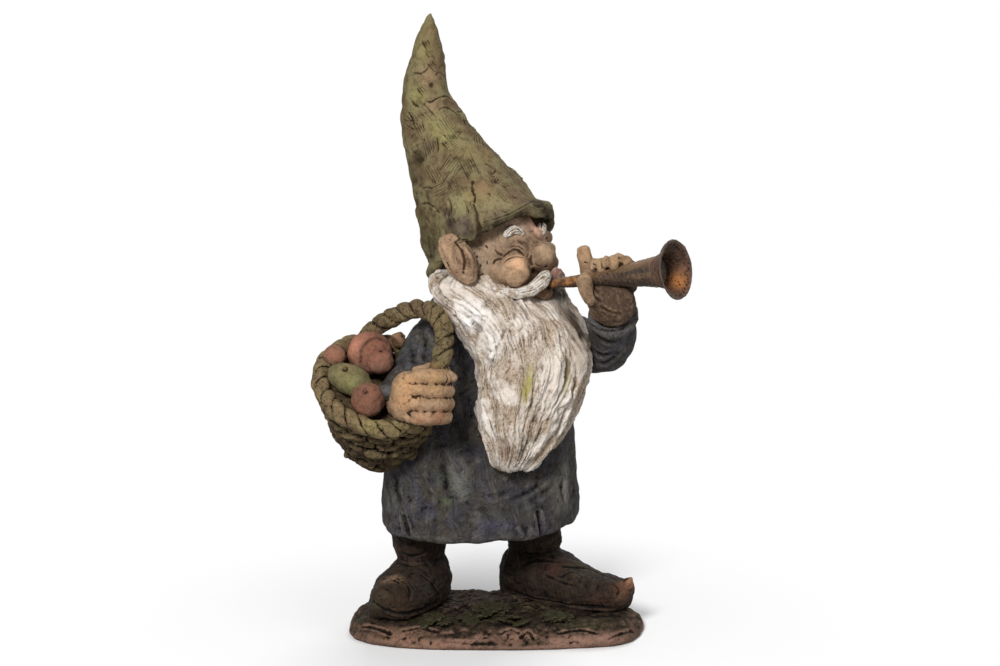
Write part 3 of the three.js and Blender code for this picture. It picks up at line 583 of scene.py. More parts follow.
# %% A material
class Paint:
    """A material and the one way to add nodes to it."""

    def __init__(self, name, **constants):
        self.material = bpy.data.materials.new(name)
        self.material.use_nodes = True
        self.tree = self.material.node_tree
        self.shader = self.tree.nodes["Principled BSDF"]
        for socket, value in constants.items():
            self.shader.inputs[socket.replace("_", " ")].default_value = value
        self.place = self.add("ShaderNodeTexCoord", out="Object")

    def add(self, kind, settings=None, sockets=None, out=0):
        """Any node, by its type, settings and sockets, as a wire from one of its outputs."""
        node = self.tree.nodes.new(kind)
        for name, value in (settings or {}).items():
            setattr(node, name, value)
        for name, value in (sockets or {}).items():
            if isinstance(value, Wire):
                self.tree.links.new(value.socket, node.inputs[name])
            else:
                node.inputs[name].default_value = value
        return Wire(self, node.outputs[out])

    def noise(self, size, detail=3.0):
        """Noise with features about as wide as size, in millimetres."""
        sockets = {"Vector": self.place, "Scale": 1 / (size * MM), "Detail": detail}
        return self.add("ShaderNodeTexNoise", {}, sockets)

    def mix(self, share, first, second):
        """One colour over another; a colour is a hex word or a wire."""
        sockets = {0: share, 6: first, 7: second}
        for slot in (6, 7):
            if isinstance(sockets[slot], str):
                sockets[slot] = (*linear(sockets[slot]), 1)
        return self.add("ShaderNodeMix", {"data_type": "RGBA"}, sockets, out=2)

    def brushed(self, size, width, length):
        """Streaks that turn from patch to patch, as short brush strokes do, with sizes in millimetres."""
        sockets = {"Vector": self.place, "Scale": 2 / (size * MM)}
        wander = self.add("ShaderNodeTexNoise", {}, sockets, out="Color")
        wander = self.add("ShaderNodeVectorMath", {"operation": "SCALE"}, {0: wander, "Scale": size * MM})
        spot = self.add("ShaderNodeVectorMath", {"operation": "ADD"}, {0: self.place, 1: wander})
        cell = self.add("ShaderNodeTexVoronoi", {}, {"Vector": spot, "Scale": 1 / (size * MM)}, out="Color")
        chance = self.add("ShaderNodeSeparateColor", {}, {0: cell}, out="Red")
        turn = {"Vector": self.place, "Angle": chance * 2.4 - 1.2}
        spot = self.add("ShaderNodeVectorRotate", {"rotation_type": "Y_AXIS"}, turn)
        scale = (1 / (width * MM), 1 / (width * MM), 1 / (length * MM))
        spot = self.add("ShaderNodeVectorMath", {"operation": "MULTIPLY"}, {0: spot, 1: scale})
        return self.add("ShaderNodeTexNoise", {}, {"Vector": spot, "Scale": 1.0, "Detail": 4.0})

    def mark(self, name, out="Fac"):
        """A mark that was stored on the points."""
        return self.add("ShaderNodeAttribute", {"attribute_name": name}, out=out)

    def feed(self, socket, wire):
        """Lead a wire to the shader."""
        self.tree.links.new(wire.socket, self.shader.inputs[socket])

    def show(self, wire, output="Material Output"):
        """Lead a wire to the output."""
        self.tree.links.new(wire.socket, self.tree.nodes[output].inputs[0])

    def bump(self, height, depth):
        """Depth is in millimetres."""
        sockets = {"Strength": 1.0, "Distance": depth * MM, "Height": height}
        self.feed("Normal", self.add("ShaderNodeBump", {}, sockets))


# %% [markdown]
# ## Thin paint on clay
# Every surface is matt clay under thin paint: a body colour that drifts into a second one, a dark wash in
# the hollows, a pale rub on the ridges, and a fine grit. The marks of `wash`, `rub` and `tint` are stored
# on the points, because they follow the modelling, and noise on Object coordinates gives the finer
# mottling.

# %% Thin paint on clay
def painted(
    name,
    body,
    second,
    wash,
    rub,
    patch=14.0,
    stain=0.5,
    grit=0.9,
    rough=0.7,
    brush=0.4,
    rubbed=0.8,
    washed=1.0,
    shine=0.06,
):
    """Thin paint on clay, drifting from a body colour to a second one."""
    paint = Paint(name, Specular_IOR_Level=shine)
    drift = paint.noise(patch, 8.0)
    mid = paint.noise(patch * 0.3, 8.0)
    speck = paint.noise(1.5, 6.0)
    stroke = paint.brushed(patch * 1.2, 1.1, 11.0)
    colour = paint.mix((drift * 0.7 + mid * 0.3).step(0.42, 0.58), body, second)
    tinted = paint.mark("tint", "Alpha") * (0.4 + mid * 1.2)
    colour = paint.mix(tinted, colour, paint.mark("tint", "Color"))
    broken = (mid * 0.5 + speck * 0.5).step(0.4, 0.62)
    worn = paint.mark("rub") * broken + stroke.step(0.55, 0.7) * brush * 0.6
    colour = paint.mix(worn * (1 - tinted * 0.6) * rubbed, colour, rub)
    blot = (mid * 0.6 + speck * 0.4).step(0.47, 0.6) * stain + stroke.step(0.5, 0.3) * brush * 0.6
    colour = paint.mix(paint.mark("wash") * (0.6 + mid) * washed + blot, colour, wash)
    paint.feed("Base Color", colour)
    paint.feed("Roughness", rough + speck * 0.15 - worn * 0.12)
    paint.bump(speck + mid + stroke * brush, grit)
    return paint.material


# %% [markdown]
# ## Hat
# The hat is a slab of clay rolled into a cone round paper, so it is dented and lopsided. The CAD cone is
# knitted to its brim, made uneven at three sizes, and then dented and pulled where the photograph shows it.
# Noise alone would give lumps that are all alike.

# %% Hat
HAT_NODES = ["hat", "hat_brim"]
FAR_LOBE = [([(541, 206), (547, 213), (549, 222), (548, 230)], 4.0, 1.6)]
LAP_RIGHT, LAP_LEFT = 484, 470
hat = Clay("hat_felt", HAT_NODES, 0.9, swell=0.6, ease=40, extra=pellets(HAT_NODES, FAR_LOBE))
left_of_lap = smooth(LAP_RIGHT, LAP_LEFT, FRONT.picture(hat.points)[:, 0])
hat.fill(45, left_of_lap)
hat.lumps(26, 1.5)
hat.lumps(10, 1.0)
hat.lumps(4, 0.3)
hat.settle()
# Dents: their places in the picture, then size and depth in millimetres.
DENTS = [(418, 160, 4.5, 2.6), (414, 179, 3.0, 1.8), (430, 85, 1.6, 1.6), (433, 247, 1.8, 2.2)]
DENTS += [(448, 214, 7.0, 2.6), (473, 181, 1.2, 1.6), (501, 193, 1.2, 0.9), (491, 192, 1.4, 1.0)]
DENTS += [(426, 200, 8.0, 1.4), (408, 130, 6.0, 1.0), (482, 190, 7.0, 0.8), (446, 70, 6.0, 0.8)]
DENTS += [(436, 230, 9.0, 1.5), (462, 222, 8.0, -1.2), (500, 205, 9.0, -0.9), (463, 247, 6.0, 3.5)]
for across, down, size, depth in DENTS:
    hat.dent(across, down, size, depth)
hat.settle()
# Pulls: place and size, then the move in millimetres.
PULLS = [(486, 234, 9, (0, 0, 3)), (512, 182, 22, (-2.5, 0, -2)), (406, 105, 25, (1.5, 0, 0))]
PULLS += [(544, 208, 8, (-2, 0, -4)), (546, 226, 5, (0, 0, -4)), (524, 214, 8, (0, 0, 1.5))]
for across, down, size, move in PULLS:
    hat.grab(across, down, size, move)
print("hat", len(DENTS), "dents and", len(PULLS), "pulls")

# %% [markdown]
# ## Cracks in the hat
# The slab's lap shows as a crack above the brim, and it is creased where it was bent. A crack is a line
# pressed with a stick, which throws up a low lip on each side. A bump in the paint would not break the
# hat's edge.

# %% Cracks in the hat
# Each crack: corners in the picture, then width and depth.
CRACKS = [
    ([(473, 180), (472, 188), (475, 197), (474, 206), (477, 214), (478, 224)], 0.8, 1.3),
    ([(476, 214), (478, 223), (479, 229), (480, 236)], 2.0, 4.0),
    ([(533, 203), (538, 206), (543, 206)], 1.2, 1.6),
    ([(536, 199), (524, 206), (508, 214), (494, 219), (481, 223)], 0.9, 1.4),
    ([(411, 72), (422, 73), (432, 64)], 0.8, 0.8),
    ([(424, 99), (430, 102), (438, 98), (447, 96), (453, 101)], 0.8, 1.1),
    ([(437, 114), (440, 109), (446, 107), (453, 110), (460, 116)], 0.8, 1.0),
    ([(434, 76), (440, 72), (446, 78)], 0.8, 0.6),
    ([(476, 168), (480, 163), (487, 164), (492, 170)], 0.8, 0.6),
    ([(420, 190), (428, 187), (435, 192)], 0.8, 0.8),
    ([(418, 206), (426, 203), (434, 207), (440, 214)], 0.9, 0.9),
    ([(424, 216), (430, 222), (432, 232)], 0.8, 0.7),
    ([(447, 196), (451, 206), (450, 218), (447, 228)], 1.6, 1.4),
    ([(410, 150), (416, 146), (424, 142)], 0.9, 0.7),
    ([(498, 184), (506, 188), (512, 196), (520, 198)], 0.8, 0.7),
    ([(540, 200), (546, 210), (548, 222)], 1.0, 0.9),
    ([(408, 96), (414, 104), (420, 108)], 0.9, 0.8),
    ([(416, 48), (424, 52), (432, 60)], 0.7, 0.6),
]
for corners, width, depth in CRACKS:
    hat.press(hat.trace(corners), 0.8 * width, 0.8 * depth, lip=0.2 * depth, ends=0.3)
hat.settle()
print("hat", len(CRACKS), "cracks")

# %% [markdown]
# ## Sacking prints
# The slab was rolled out on coarse sacking, which left short runs of parallel lines at odd angles. Each run
# is a few lines pressed side by side, on a skin that is refined there first, because the lines are finer
# than its points. The runs that the photograph shows are placed in the picture. On the other sides they
# fall at random, from a seeded generator, so the hat is the same at every run.

# %% Sacking prints
# Each run: place, tilt in degrees, lines, gap and length, in the picture.
PRINTS = [
    (427, 45, 58, 3, 2.6, 13),
    (433, 66, 45, 3, 2.6, 11),
    (422, 91, 50, 3, 2.6, 11),
    (429, 115, 42, 4, 2.4, 20),
    (412, 118, 60, 3, 2.8, 21),
    (446, 124, 58, 7, 2.5, 20),
    (455, 131, -45, 5, 2.6, 12),
    (452, 136, 50, 5, 2.6, 14),
    (431, 146, 76, 7, 2.3, 22),
    (453, 146, -35, 6, 2.5, 14),
    (449, 143, 55, 5, 2.5, 14),
    (479, 142, 82, 4, 2.6, 20),
    (452, 166, -57, 7, 2.6, 38),
    (468, 164, 62, 6, 2.6, 32),
    (434, 174, 62, 5, 2.5, 20),
    (457, 187, 62, 8, 2.1, 19),
    (457, 187, -28, 8, 2.1, 19),
    (492, 180, 58, 6, 2.3, 13),
    (506, 196, 50, 4, 2.4, 12),
    (440, 190, -30, 5, 2.6, 15),
    (449, 219, 65, 4, 2.2, 15),
    (427, 234, 60, 4, 2.4, 14),
    (470, 206, 66, 4, 2.3, 12),
    (420, 128, 66, 4, 2.4, 14),
]


def printed(margin):
    """Which points of the hat lie under each run, with a margin round it in pixels."""
    seen = FRONT.picture(hat.points)
    for across, down, _, lines, gap, length in PRINTS:
        yield np.linalg.norm(seen - [across, down], axis=1) < max(length, lines * gap) / 2 + margin


fine = np.any(list(printed(2)), axis=0)
hat.refine(fine & (hat.normals @ FRONT.back > 0.1))
for across, down, tilt, lines, gap, length in PRINTS:
    ahead = np.array([math.cos(math.radians(tilt)), math.sin(math.radians(tilt))])
    aside = np.array([-ahead[1], ahead[0]])
    for number in range(lines):
        middle = np.array([across, down]) + aside * gap * (number - (lines - 1) / 2)
        reach = ahead * length * (0.45 + 0.16 * math.sin(7 * number + across))
        fan = aside * 0.05 * length * math.sin(3 * number + down)
        bent = middle + ahead * 2 * math.sin(5 * number)
        line = hat.trace([middle - reach - fan, bent, middle + reach + fan])
        hat.press(line, 0.5, 0.55 + 0.2 * math.sin(9 * number + down), lip=0.25, ends=0.2)
hat.settle()
hat.crumble(12, 0.6, 2)
prints = np.random.default_rng(8)
HAT_REACH = 75
PLAIN_TIP = 60
unseen = np.flatnonzero(hat.normals @ FRONT.back < 0.25)
unseen = unseen[np.linalg.norm(hat.points[unseen, :2] - hat.points[:, :2].mean(0), axis=1) < HAT_REACH]
unseen = unseen[hat.points[unseen, 2] < hat.points[:, 2].max() - PLAIN_TIP]
for number in prints.choice(unseen, 46):
    tilt = prints.uniform(0, math.pi)
    for line in range(prints.integers(3, 7)):
        path = hat.lay(number, tilt, prints.uniform(8, 18), offset=1.9 * line)
        hat.press(path, 0.62, 0.9, lip=0.25, ends=0.2)
for number in prints.choice(unseen, 14):
    path = hat.lay(number, prints.uniform(0, math.pi), prints.uniform(14, 30), bend=prints.uniform(-14, 14))
    hat.press(path, 0.9, 1.0, lip=0.3)
print("hat", len(PRINTS), "runs of print in front")

# %% [markdown]
# ## Hat paint
# The hat is moss green over brown, put on thin. Dabs and smears bring the photograph's patches, and painted
# shade: a dark band under the brim's roll, the lap crack and the fold left of it, the far side, and the
# dents and the lower left. The wash and rub do the rest.

# %% Hat paint
# The darkest dabs, in the dents and low on the left, are painted shade.
HAT_PATCHES_AND_SHADE = [
    (424, 50, 7, "928a57", 0.7),
    (418, 96, 8, "8b8553", 0.7),
    (446, 138, 9, "9a9461", 0.7),
    (436, 128, 7, "968f5c", 0.6),
    (462, 205, 7, "958e66", 0.75),
    (490, 206, 8, "958d64", 0.75),
    (508, 203, 6, "9e946a", 0.6),
    (428, 76, 7, "8f765b", 0.85),
    (432, 106, 6, "8d765b", 0.85),
    (482, 189, 8, "8f7556", 0.85),
    (466, 150, 9, "867650", 0.6),
    (488, 156, 8, "85714f", 0.6),
    (470, 196, 6, "897850", 0.6),
    (409, 130, 7, "66533b", 0.8),
    (514, 194, 8, "735d4b", 0.85),
    (496, 215, 6, "756655", 0.8),
    (418, 160, 6, "3a3122", 0.8),
    (414, 180, 6, "403625", 0.8),
    (430, 240, 13, "443b28", 0.85),
    (422, 214, 8, "564c30", 0.8),
    (429, 146, 6, "5c4c40", 0.8),
    (430, 30, 8, "7a6746", 0.7),
    (436, 46, 6, "6f5d43", 0.6),
    (440, 192, 6, "6a5c46", 0.7),
    (462, 226, 8, "5f544d", 0.85),
    (470, 234, 6, "4a4038", 0.85),
]
# A dark band of painted shade under the brim's roll.
BRIM_UNDERSIDE_SHADE = [
    ([(466, 242), (480, 231), (500, 221), (520, 212), (536, 205)], 3.4, "4a3f31", 0.9),
    ([(472, 237), (484, 232), (500, 224.5), (514, 218), (527, 212)], 3.6, "1f1812", 1.0),
]
# Painted shade in the lap crack and in the fold left of it.
LAP_PAINTED_SHADE = [
    ([(474, 206), (477, 216), (479, 226), (480, 235)], 1.3, "1d1712", 0.9),
    ([(447, 206), (449, 218), (452, 231)], 3.6, "332b2b", 0.95),
]
# Painted shade on the far side of the hat.
FAR_SIDE_SHADE = [([(541, 204), (546, 212), (547, 222), (546, 230)], 7.5, "2b2721", 1.0)]
hat.patches(HAT_PATCHES_AND_SHADE)
hat.streaks(BRIM_UNDERSIDE_SHADE, ends=0.1)
hat.streaks(LAP_PAINTED_SHADE)
hat.streaks(FAR_SIDE_SHADE, ends=0.0)
hat.weather(4, 30)
for under in printed(0):
    hat.wash[under] *= 0.7
HAT_COLOURS = ("7b7253", "695842", "382c1f", "a0986e")
hat_paint = painted("hat_paint", *HAT_COLOURS, patch=16.0, stain=0.4, washed=1.0, brush=0.25)
hat.finished(hat_paint, "hat_felt")

# %% [markdown]
# ## Face
# Nose, cheeks and lids are pellets of clay smeared on the head, and the folds round the closed eye are
# drawn with a pointed stick. The near side is drawn where the photograph shows it, and each line is
# mirrored across the head, so the far side has an eye too. Loose spheres with a gap round them would look
# like glass beads, so `fill` first thumbs clay into the joints.

# %% Face
PARTS = ["head", "nose", "lower_lip", "right_cheek", "left_cheek", "right_eye", "left_eye"]
HEAD_MIDDLE = np.array([1.6, 12.0, 258.0])
HEAD_SIDE = np.array([math.cos(math.radians(56)), math.sin(math.radians(56)), 0.0])


def across_head(places):
    """The same places on the other side of the head."""
    return places - 2 * ((places - HEAD_MIDDLE) @ HEAD_SIDE)[:, None] * HEAD_SIDE


def move_across(move):
    """The same move on the other side of the head."""
    return move - 2 * (move @ HEAD_SIDE) * HEAD_SIDE


FACE_PELLETS = [
    ([(528, 240), (534, 245), (541, 250)], 4.0, 1.0),
    ([(535, 261)], 4.2, 1.4),
    ([(514, 267)], 10.0, 0.8),
    ([(507, 253), (514, 249), (522, 251)], 3.4, 0.9),
    ([(502, 244), (512, 238), (523, 239)], 4.5, 0.6),
    ([(546, 292)], 4.0, 1.0),
    ([(553, 266), (554, 274)], 5.6, 1.0),
    ([(556, 284), (561, 289), (564, 295)], 3.2, 1.0),
]
FAR_PELLETS = [([(535, 235), (540, 236), (545, 237)], 4.6, 1.2)]
face_lumps = pellets(PARTS, FAR_PELLETS, form=pellets(PARTS, FACE_PELLETS, across_head))
face = Clay("face", PARTS, 0.53, swell=0.9, ease=26, extra=face_lumps)
face.fill(24)


def mirrored(clay, path):
    """The same line on the other side of the head."""
    return clay.cling(across_head(path[:, :3]))


def pull_both(clay, across, down, size, move):
    """Pull the skin near a place, and the same on the other side of the head."""
    spot = clay.hit(across, down)[None, :3]
    clay.pull(spot[0], size, move)
    clay.pull(across_head(spot)[0], size, move_across(move))


def around_face(spots):
    """Shares near places in the picture, and near the same places on the other side of the head."""
    shares = []
    for points in (face.points, across_head(face.points)):
        seen = FRONT.picture(points)
        shares += [np.exp(-((seen - spot[:2]) ** 2).sum(1) / spot[2] ** 2) for spot in spots]
    return np.max(shares, axis=0)


# The cheek is drawn up off the moustache, runs out into the jaw, and the nose runs into the brow.
CHEEK_FOOT = (516, 288)
CHEEK_EDGE = [(514, 284, 9), (524, 280, 6)]
NOSE_ROOT = (536, 243)
JOINTS = [(495, 268, 12), (500, 278, 12), (508, 284, 9), (532, 244, 7), (530, 254, 5)]
pull_both(face, *CHEEK_FOOT, 10.0, [0, 0, 7] - 8 * FRONT.back)
face.ease(30, around_face(CHEEK_EDGE))
pull_both(face, *NOSE_ROOT, 4.0, -3 * FRONT.back)
face.fill(90, around_face(JOINTS))
print("face", len(face.points), "points before its lines")

# %% [markdown]
# ## Lines of the face
# The folds round the eye are drawn in pairs, the lines near the middle once. Short tufts before the ear are
# strokes at random, some pressed in and some raised, because hair there grows every way.

# %% Lines of the face
# Each line: its corners in the picture, then its width and depth in millimetres. A depth below 0 adds a coil.
EYE_LINES = [
    ([(503, 257), (508, 252.5), (515, 249.5), (521.5, 252.5), (524.5, 256)], 1.0, 0.9),
    ([(508, 248.5), (513.5, 245.5), (520, 246.5), (525, 251)], 0.9, 0.6),
    ([(503, 264), (507, 259.5), (515, 256.5), (525, 257.5)], 0.8, 0.7),
    ([(492.5, 265), (496, 260), (502, 258.5)], 0.8, 0.5),
    ([(494, 249), (498, 253), (503, 255)], 0.8, 0.45),
]
MIDDLE_LINES = [
    ([(531, 254), (530.5, 260), (533, 266)], 0.9, 0.7),
    ([(535, 262), (537, 265.5), (542, 266.5)], 0.7, 0.5),
    ([(546, 285.5), (550, 287), (554, 288)], 1.6, 2.0),
]
NOSTRIL = (546, 267.5)
TUFT_AREA = ((474, 243), (488, 274))
for corners, width, depth in EYE_LINES:
    line = face.trace(corners)
    face.press(line, width, depth, lip=0.1 * abs(depth))
    face.press(mirrored(face, line), width, depth, lip=0.1 * abs(depth))
face.draw(MIDDLE_LINES)
face.dent(*NOSTRIL, 1.2, 1.0)
face.settle()
burns = np.random.default_rng(31)
for _ in range(22):
    across, down = burns.uniform(*TUFT_AREA)
    line = face.trace([(across, down), (across + burns.uniform(-3, 3), down + burns.uniform(3, 7))])
    if len(line) > 2:
        depth = burns.uniform(-0.5, 0.5)
        for tuft in (line, mirrored(face, line)):
            face.press(tuft, 0.75, depth, ends=0.4)
            face.smear(tuft, 2.0, "9c8a76", 0.45, ends=0.0)
face.settle()
face.lumps(6, 0.3)
face.crumble(5, 0.1, 2)

# %% [markdown]
# ## Face paint
# Warm paint sits on the cheek, and the wash stays in the folds. Painted light brightens the top of the
# cheek, the top of the nose and the brow under the brim; painted shade darkens the corners of the eye, the
# side and underside of the nose, and the jaw beside the lip. The hands and the fruit take the same kind of
# paint in other colours, so its settings are kept together.

# %% Face paint
# Painted light: the bright dabs on the top of the cheek, on the forehead under the brim, and on the top of
# the nose. Painted shade: the dark dabs round the eye and the bridge of the nose, at the side and underside
# of the nose, and on the jaw right of the lip.
SKIN_PATCHES_LIGHT_AND_SHADE = [
    (517, 264, 6.0, "f0bd94", 0.9),
    (508, 272, 9.0, "b9997a", 0.7),
    (500, 268, 6.0, "b59a7e", 0.6),
    (515, 281, 6.0, "a98a6e", 0.6),
    (559, 269, 7.0, "a8705c", 0.7),
    (535, 226, 9.0, "f4c2a8", 0.95),
    (518, 226, 8.0, "cfae95", 0.85),
    (500, 243, 9.0, "a08872", 0.7),
    (546, 250, 4.5, "b39a7c", 0.7),
    (537, 262, 4.0, "6f5a48", 0.75),
    (546, 265, 4.0, "5d493a", 0.8),
    (532, 258, 4.0, "755f4e", 0.7),
    (540, 267, 3.5, "4e3b2e", 0.8),
    (530, 270, 4.0, "5d4839", 0.8),
    (552, 262, 3.0, "7d6752", 0.6),
    (512, 248, 6.0, "5f4c3e", 0.85),
    (500, 256, 6.0, "6b5747", 0.75),
    (527, 243, 4.5, "5a4638", 0.8),
    (536, 239, 4.0, "6b5444", 0.7),
    (545, 294, 6.0, "644737", 0.9),
    (563, 292, 6.0, "3d2b22", 0.9),
    (556, 286, 4.0, "3d2b22", 0.8),
]
face.patches(SKIN_PATCHES_LIGHT_AND_SHADE)
face.weather(4, 30, 0.055)
SKIN = {"patch": 8.0, "stain": 0.28, "grit": 0.5, "brush": 0.2}
skin_paint = painted("skin_paint", "9c8168", "86705a", "3f2f23", "c6a585", washed=1.2, **SKIN)
face.finished(skin_paint, "skin")

# %% [markdown]
# ## Ears
# Each ear is a leaf of clay, folded over along its front and hollowed with a thumb. The near ear is drawn
# in the picture, and the far one takes each mark across the head. The CAD ear has a deep hollow, so a flat
# lump closes it first.

# %% Ears
EAR_LINES = [
    ([(454, 241), (461, 249), (464.5, 258), (465, 266), (462.5, 274)], 1.0, 1.3),
    ([(447, 262), (451, 270), (456, 279)], 0.8, 0.5),
    ([(462, 247), (469, 255), (473.5, 264), (472, 275)], 2.0, -0.7),
    ([(441, 241), (446, 250), (452, 262), (457, 272)], 2.6, -0.9),
]
# Painted highlights on the flat of the leaf and on the lobe, and painted shade on the folded flap.
EAR_PATCHES_LIGHT_AND_SHADE = [
    (448, 250, 8, "ad8d70", 0.7),
    (470, 262, 5, "5f4838", 0.75),
    (468, 279, 3, "b99a84", 0.6),
    (456, 272, 5, "8d6d58", 0.6),
]
EAR_MIDDLE = [456, 259]
EAR_FORWARD = 3.0
right_ear = Clay("right_ear_leaf", ["right_ear"], 0.45, swell=0.5, ease=4)


def leaf_core(side):
    """A flat lump that closes the ear's hollow, so that it reads as a leaf and not as a ring."""
    form = bmesh.new()
    rows = right_ear.points
    middle = rows.mean(0)
    turned = np.linalg.svd(rows - middle, full_matrices=False)[2]
    reach = np.abs((rows - middle) @ turned.T).max(0) * [0.93, 0.86, 0.5]
    for point in bmesh.ops.create_uvsphere(form, u_segments=40, v_segments=24, radius=1.0)["verts"]:
        place = middle + (np.array(point.co) * reach) @ turned
        if side == "left":
            place = across_head(place[None])[0]
        point.co = Vector(place) * MM
    bmesh.ops.recalc_face_normals(form, faces=form.faces)
    return form


for side in ("right", "left"):
    ear = Clay(f"{side}_ear_leaf", [f"{side}_ear"], 0.45, swell=0.5, ease=16, extra=leaf_core(side))
    ear.fill(50)
    right_ear = ear if side == "right" else right_ear
    places = ear.points if side == "right" else across_head(ear.points)
    seen = FRONT.picture(places) - EAR_MIDDLE
    squeeze = np.maximum(seen, [0, -99]) * [0.16, 0.1]
    places = places + (squeeze[:, 1:] * FRONT.up - squeeze[:, :1] * FRONT.right) / PIXELS_PER_MM
    ear.points = places if side == "right" else across_head(places)
    ear.settle()
    for corners, width, depth in EAR_LINES:
        line = right_ear.trace(corners)
        if len(line) > 2:
            ear.press(line if ear is right_ear else mirrored(ear, line), width, depth)
    for across, down, size, colour, share in EAR_PATCHES_LIGHT_AND_SHADE:
        spot = right_ear.hit(across, down)
        if spot is not None:
            ear.smear(spot[None] if ear is right_ear else mirrored(ear, spot[None]), size, colour, share)
    ear.points += (FRONT.back if side == "right" else move_across(FRONT.back)) * EAR_FORWARD
    ear.settle()
    ear.lumps(5, 0.4)
    ear.crumble(4, 0.2)
    ear.weather(4, 24)
    ear.finished(skin_paint, "skin")

# %% [markdown]
# ## Brows and moustache
# Small white coils are pressed on and split along their length with a knife. The paint is nearly white
# where a dry brush caught them, and brown in the cuts. Each coil stays a piece of its own, so its edge
# against the skin is a sharp one, as in the photograph.

# %% Brows and moustache
HAIR_COLOURS = ("d8cfc4", "a8957f", "4a3829", "f6f2ec")
hair_paint = painted("hair_paint", *HAIR_COLOURS, patch=5.0, rubbed=0.95, stain=0.28, washed=0.8)
SWELL = {"eyebrow": 0.45, "moustache": 0.9}
FORWARD = {"eyebrow": 0.8, "moustache": 3.0}
FAR_BROW_MOVE = [2.5, 0, -2.5]
# Painted shade on the far moustache.
FAR_MOUSTACHE_SHADE = (558, 271, 7, "96685a", 0.95)
CUTS = {
    "eyebrow": [
        ([(506, 238), (511, 231), (518, 229), (523, 234)], 0.6, 0.8),
        ([(505, 234), (510, 229), (516, 227)], 0.5, 0.6),
        ([(508, 240), (513, 234), (519, 232)], 0.5, 0.6),
    ],
    "moustache": [
        ([(546, 275), (538, 280), (530, 286), (518, 290), (505, 289)], 0.65, 1.0),
        ([(548, 271), (540, 274), (532, 281), (522, 286), (510, 287)], 0.5, 0.6),
        ([(550, 277), (542, 284), (533, 290), (520, 293)], 0.5, 0.6),
    ],
}
for kind, cuts in CUTS.items():
    near = None
    for side in ("right", "left"):
        coil = Clay(f"{side}_{kind}_hair", [f"{side}_{kind}"], 0.35, swell=SWELL[kind], ease=12)
        near = near or coil
        ahead = FRONT.back * FORWARD[kind]
        coil.points += ahead if coil is near else move_across(ahead)
        if kind == "eyebrow" and coil is not near:
            coil.points += FAR_BROW_MOVE
        coil.settle()
        for corners, width, depth in cuts:
            line = near.trace(corners)
            if len(line) > 2:
                coil.press(line if coil is near else mirrored(coil, line), width, depth, ends=0.15)
        coil.settle()
        coil.lumps(3, 0.15)
        if kind == "moustache" and coil is not near:
            coil.patch(*FAR_MOUSTACHE_SHADE)
        coil.weather(3, 16)
        coil.finished(hair_paint, "hair_white")

# %% [markdown]
# ## Beard
# The beard is a thick slab combed with a pointed stick: a few deep partings, many strands, and hair-fine
# scratches between them. Cutting hundreds of lines one by one looks ruled, so the strands here come from
# noise on combed places: a point's way round the slab, and its way down it drawn together. The way round
# leans and wanders as the photograph's locks do. The same places are kept as a `comb` mark for the paint.

# %% Beard
beard = Clay("beard_locks", ["beard"], 0.74, swell=0.7, ease=40)
low, high = beard.points[:, 2].min(), beard.points[:, 2].max()
levels = np.linspace(low, high, 24)
middles = np.array([beard.points[np.abs(beard.points[:, 2] - level) < 6, :2].mean(0) for level in levels])
inner = [np.interp(beard.points[:, 2], levels, middles[:, i]) for i in (0, 1)]
offset = beard.points[:, :2] - np.stack(inner, 1)
bearing = np.arctan2(offset[:, 0], -offset[:, 1])
fall = high - beard.points[:, 2]
lean = 0.28 * np.exp(-(((bearing - 0.15) / 0.8) ** 2))
wander = 7.0 * cloud(beard.points, 26) + 2.2 * cloud(beard.points + 31, 11)
way_round = bearing * 42 + lean * fall + wander
way_down = fall + 8 * cloud(beard.points + 77, 18)
combed = np.stack([way_round, way_down / 3.4, np.zeros(len(fall))], 1)
# Partings that the photograph shows: corners in the picture, then width and depth.
PARTINGS = [
    ([(493, 287), (487, 304), (478, 326), (471, 348), (468, 370)], 2.4, 2.6),
    ([(508, 322), (501, 340), (493, 358), (488, 376)], 1.2, 1.3),
    ([(533, 360), (527, 378), (521, 396), (518, 414)], 1.2, 0.4),
    ([(566, 346), (569, 366), (565, 390)], 1.2, 1.2),
    ([(476, 384), (486, 412), (497, 438), (503, 462)], 1.4, 1.3),
    ([(546, 402), (541, 424), (532, 446)], 1.2, 1.2),
    ([(569, 404), (562, 424), (553, 446)], 1.2, 1.2),
    ([(446, 296), (456, 316), (463, 338)], 1.2, 1.1),
    ([(512, 296), (516, 310), (512, 326)], 1.2, 0.9),
]
FAR_EDGE = (574, 308)
NEAR_CORNER = (446, 284)
beard.draw(PARTINGS, lip=0.3, ends=0.4)
beard.grab(*FAR_EDGE, 13, (-5.5, 0, 0))
beard.settle()
# Each round of combing: width of a strand and depth, in millimetres.
for number, (width, depth) in enumerate([(14, 1.6), (7.5, 1.5), (4.0, 1.1), (2.2, 0.5)]):
    patchy = 0.55 + 0.9 * smooth(-0.4, 0.4, cloud(beard.points + 9 * number, 15))
    beard.combed(combed + 11 * number, width, depth, patchy)
    beard.settle()
beard.crumble(4, 0.25, 2)
seen = FRONT.picture(beard.points)
beard.crumble(7, 0.9, 2, smooth(34, 12, np.linalg.norm(seen - NEAR_CORNER, axis=1)))
print("beard", round(float(high - low), 1), "mm long, with", len(PARTINGS), "partings")
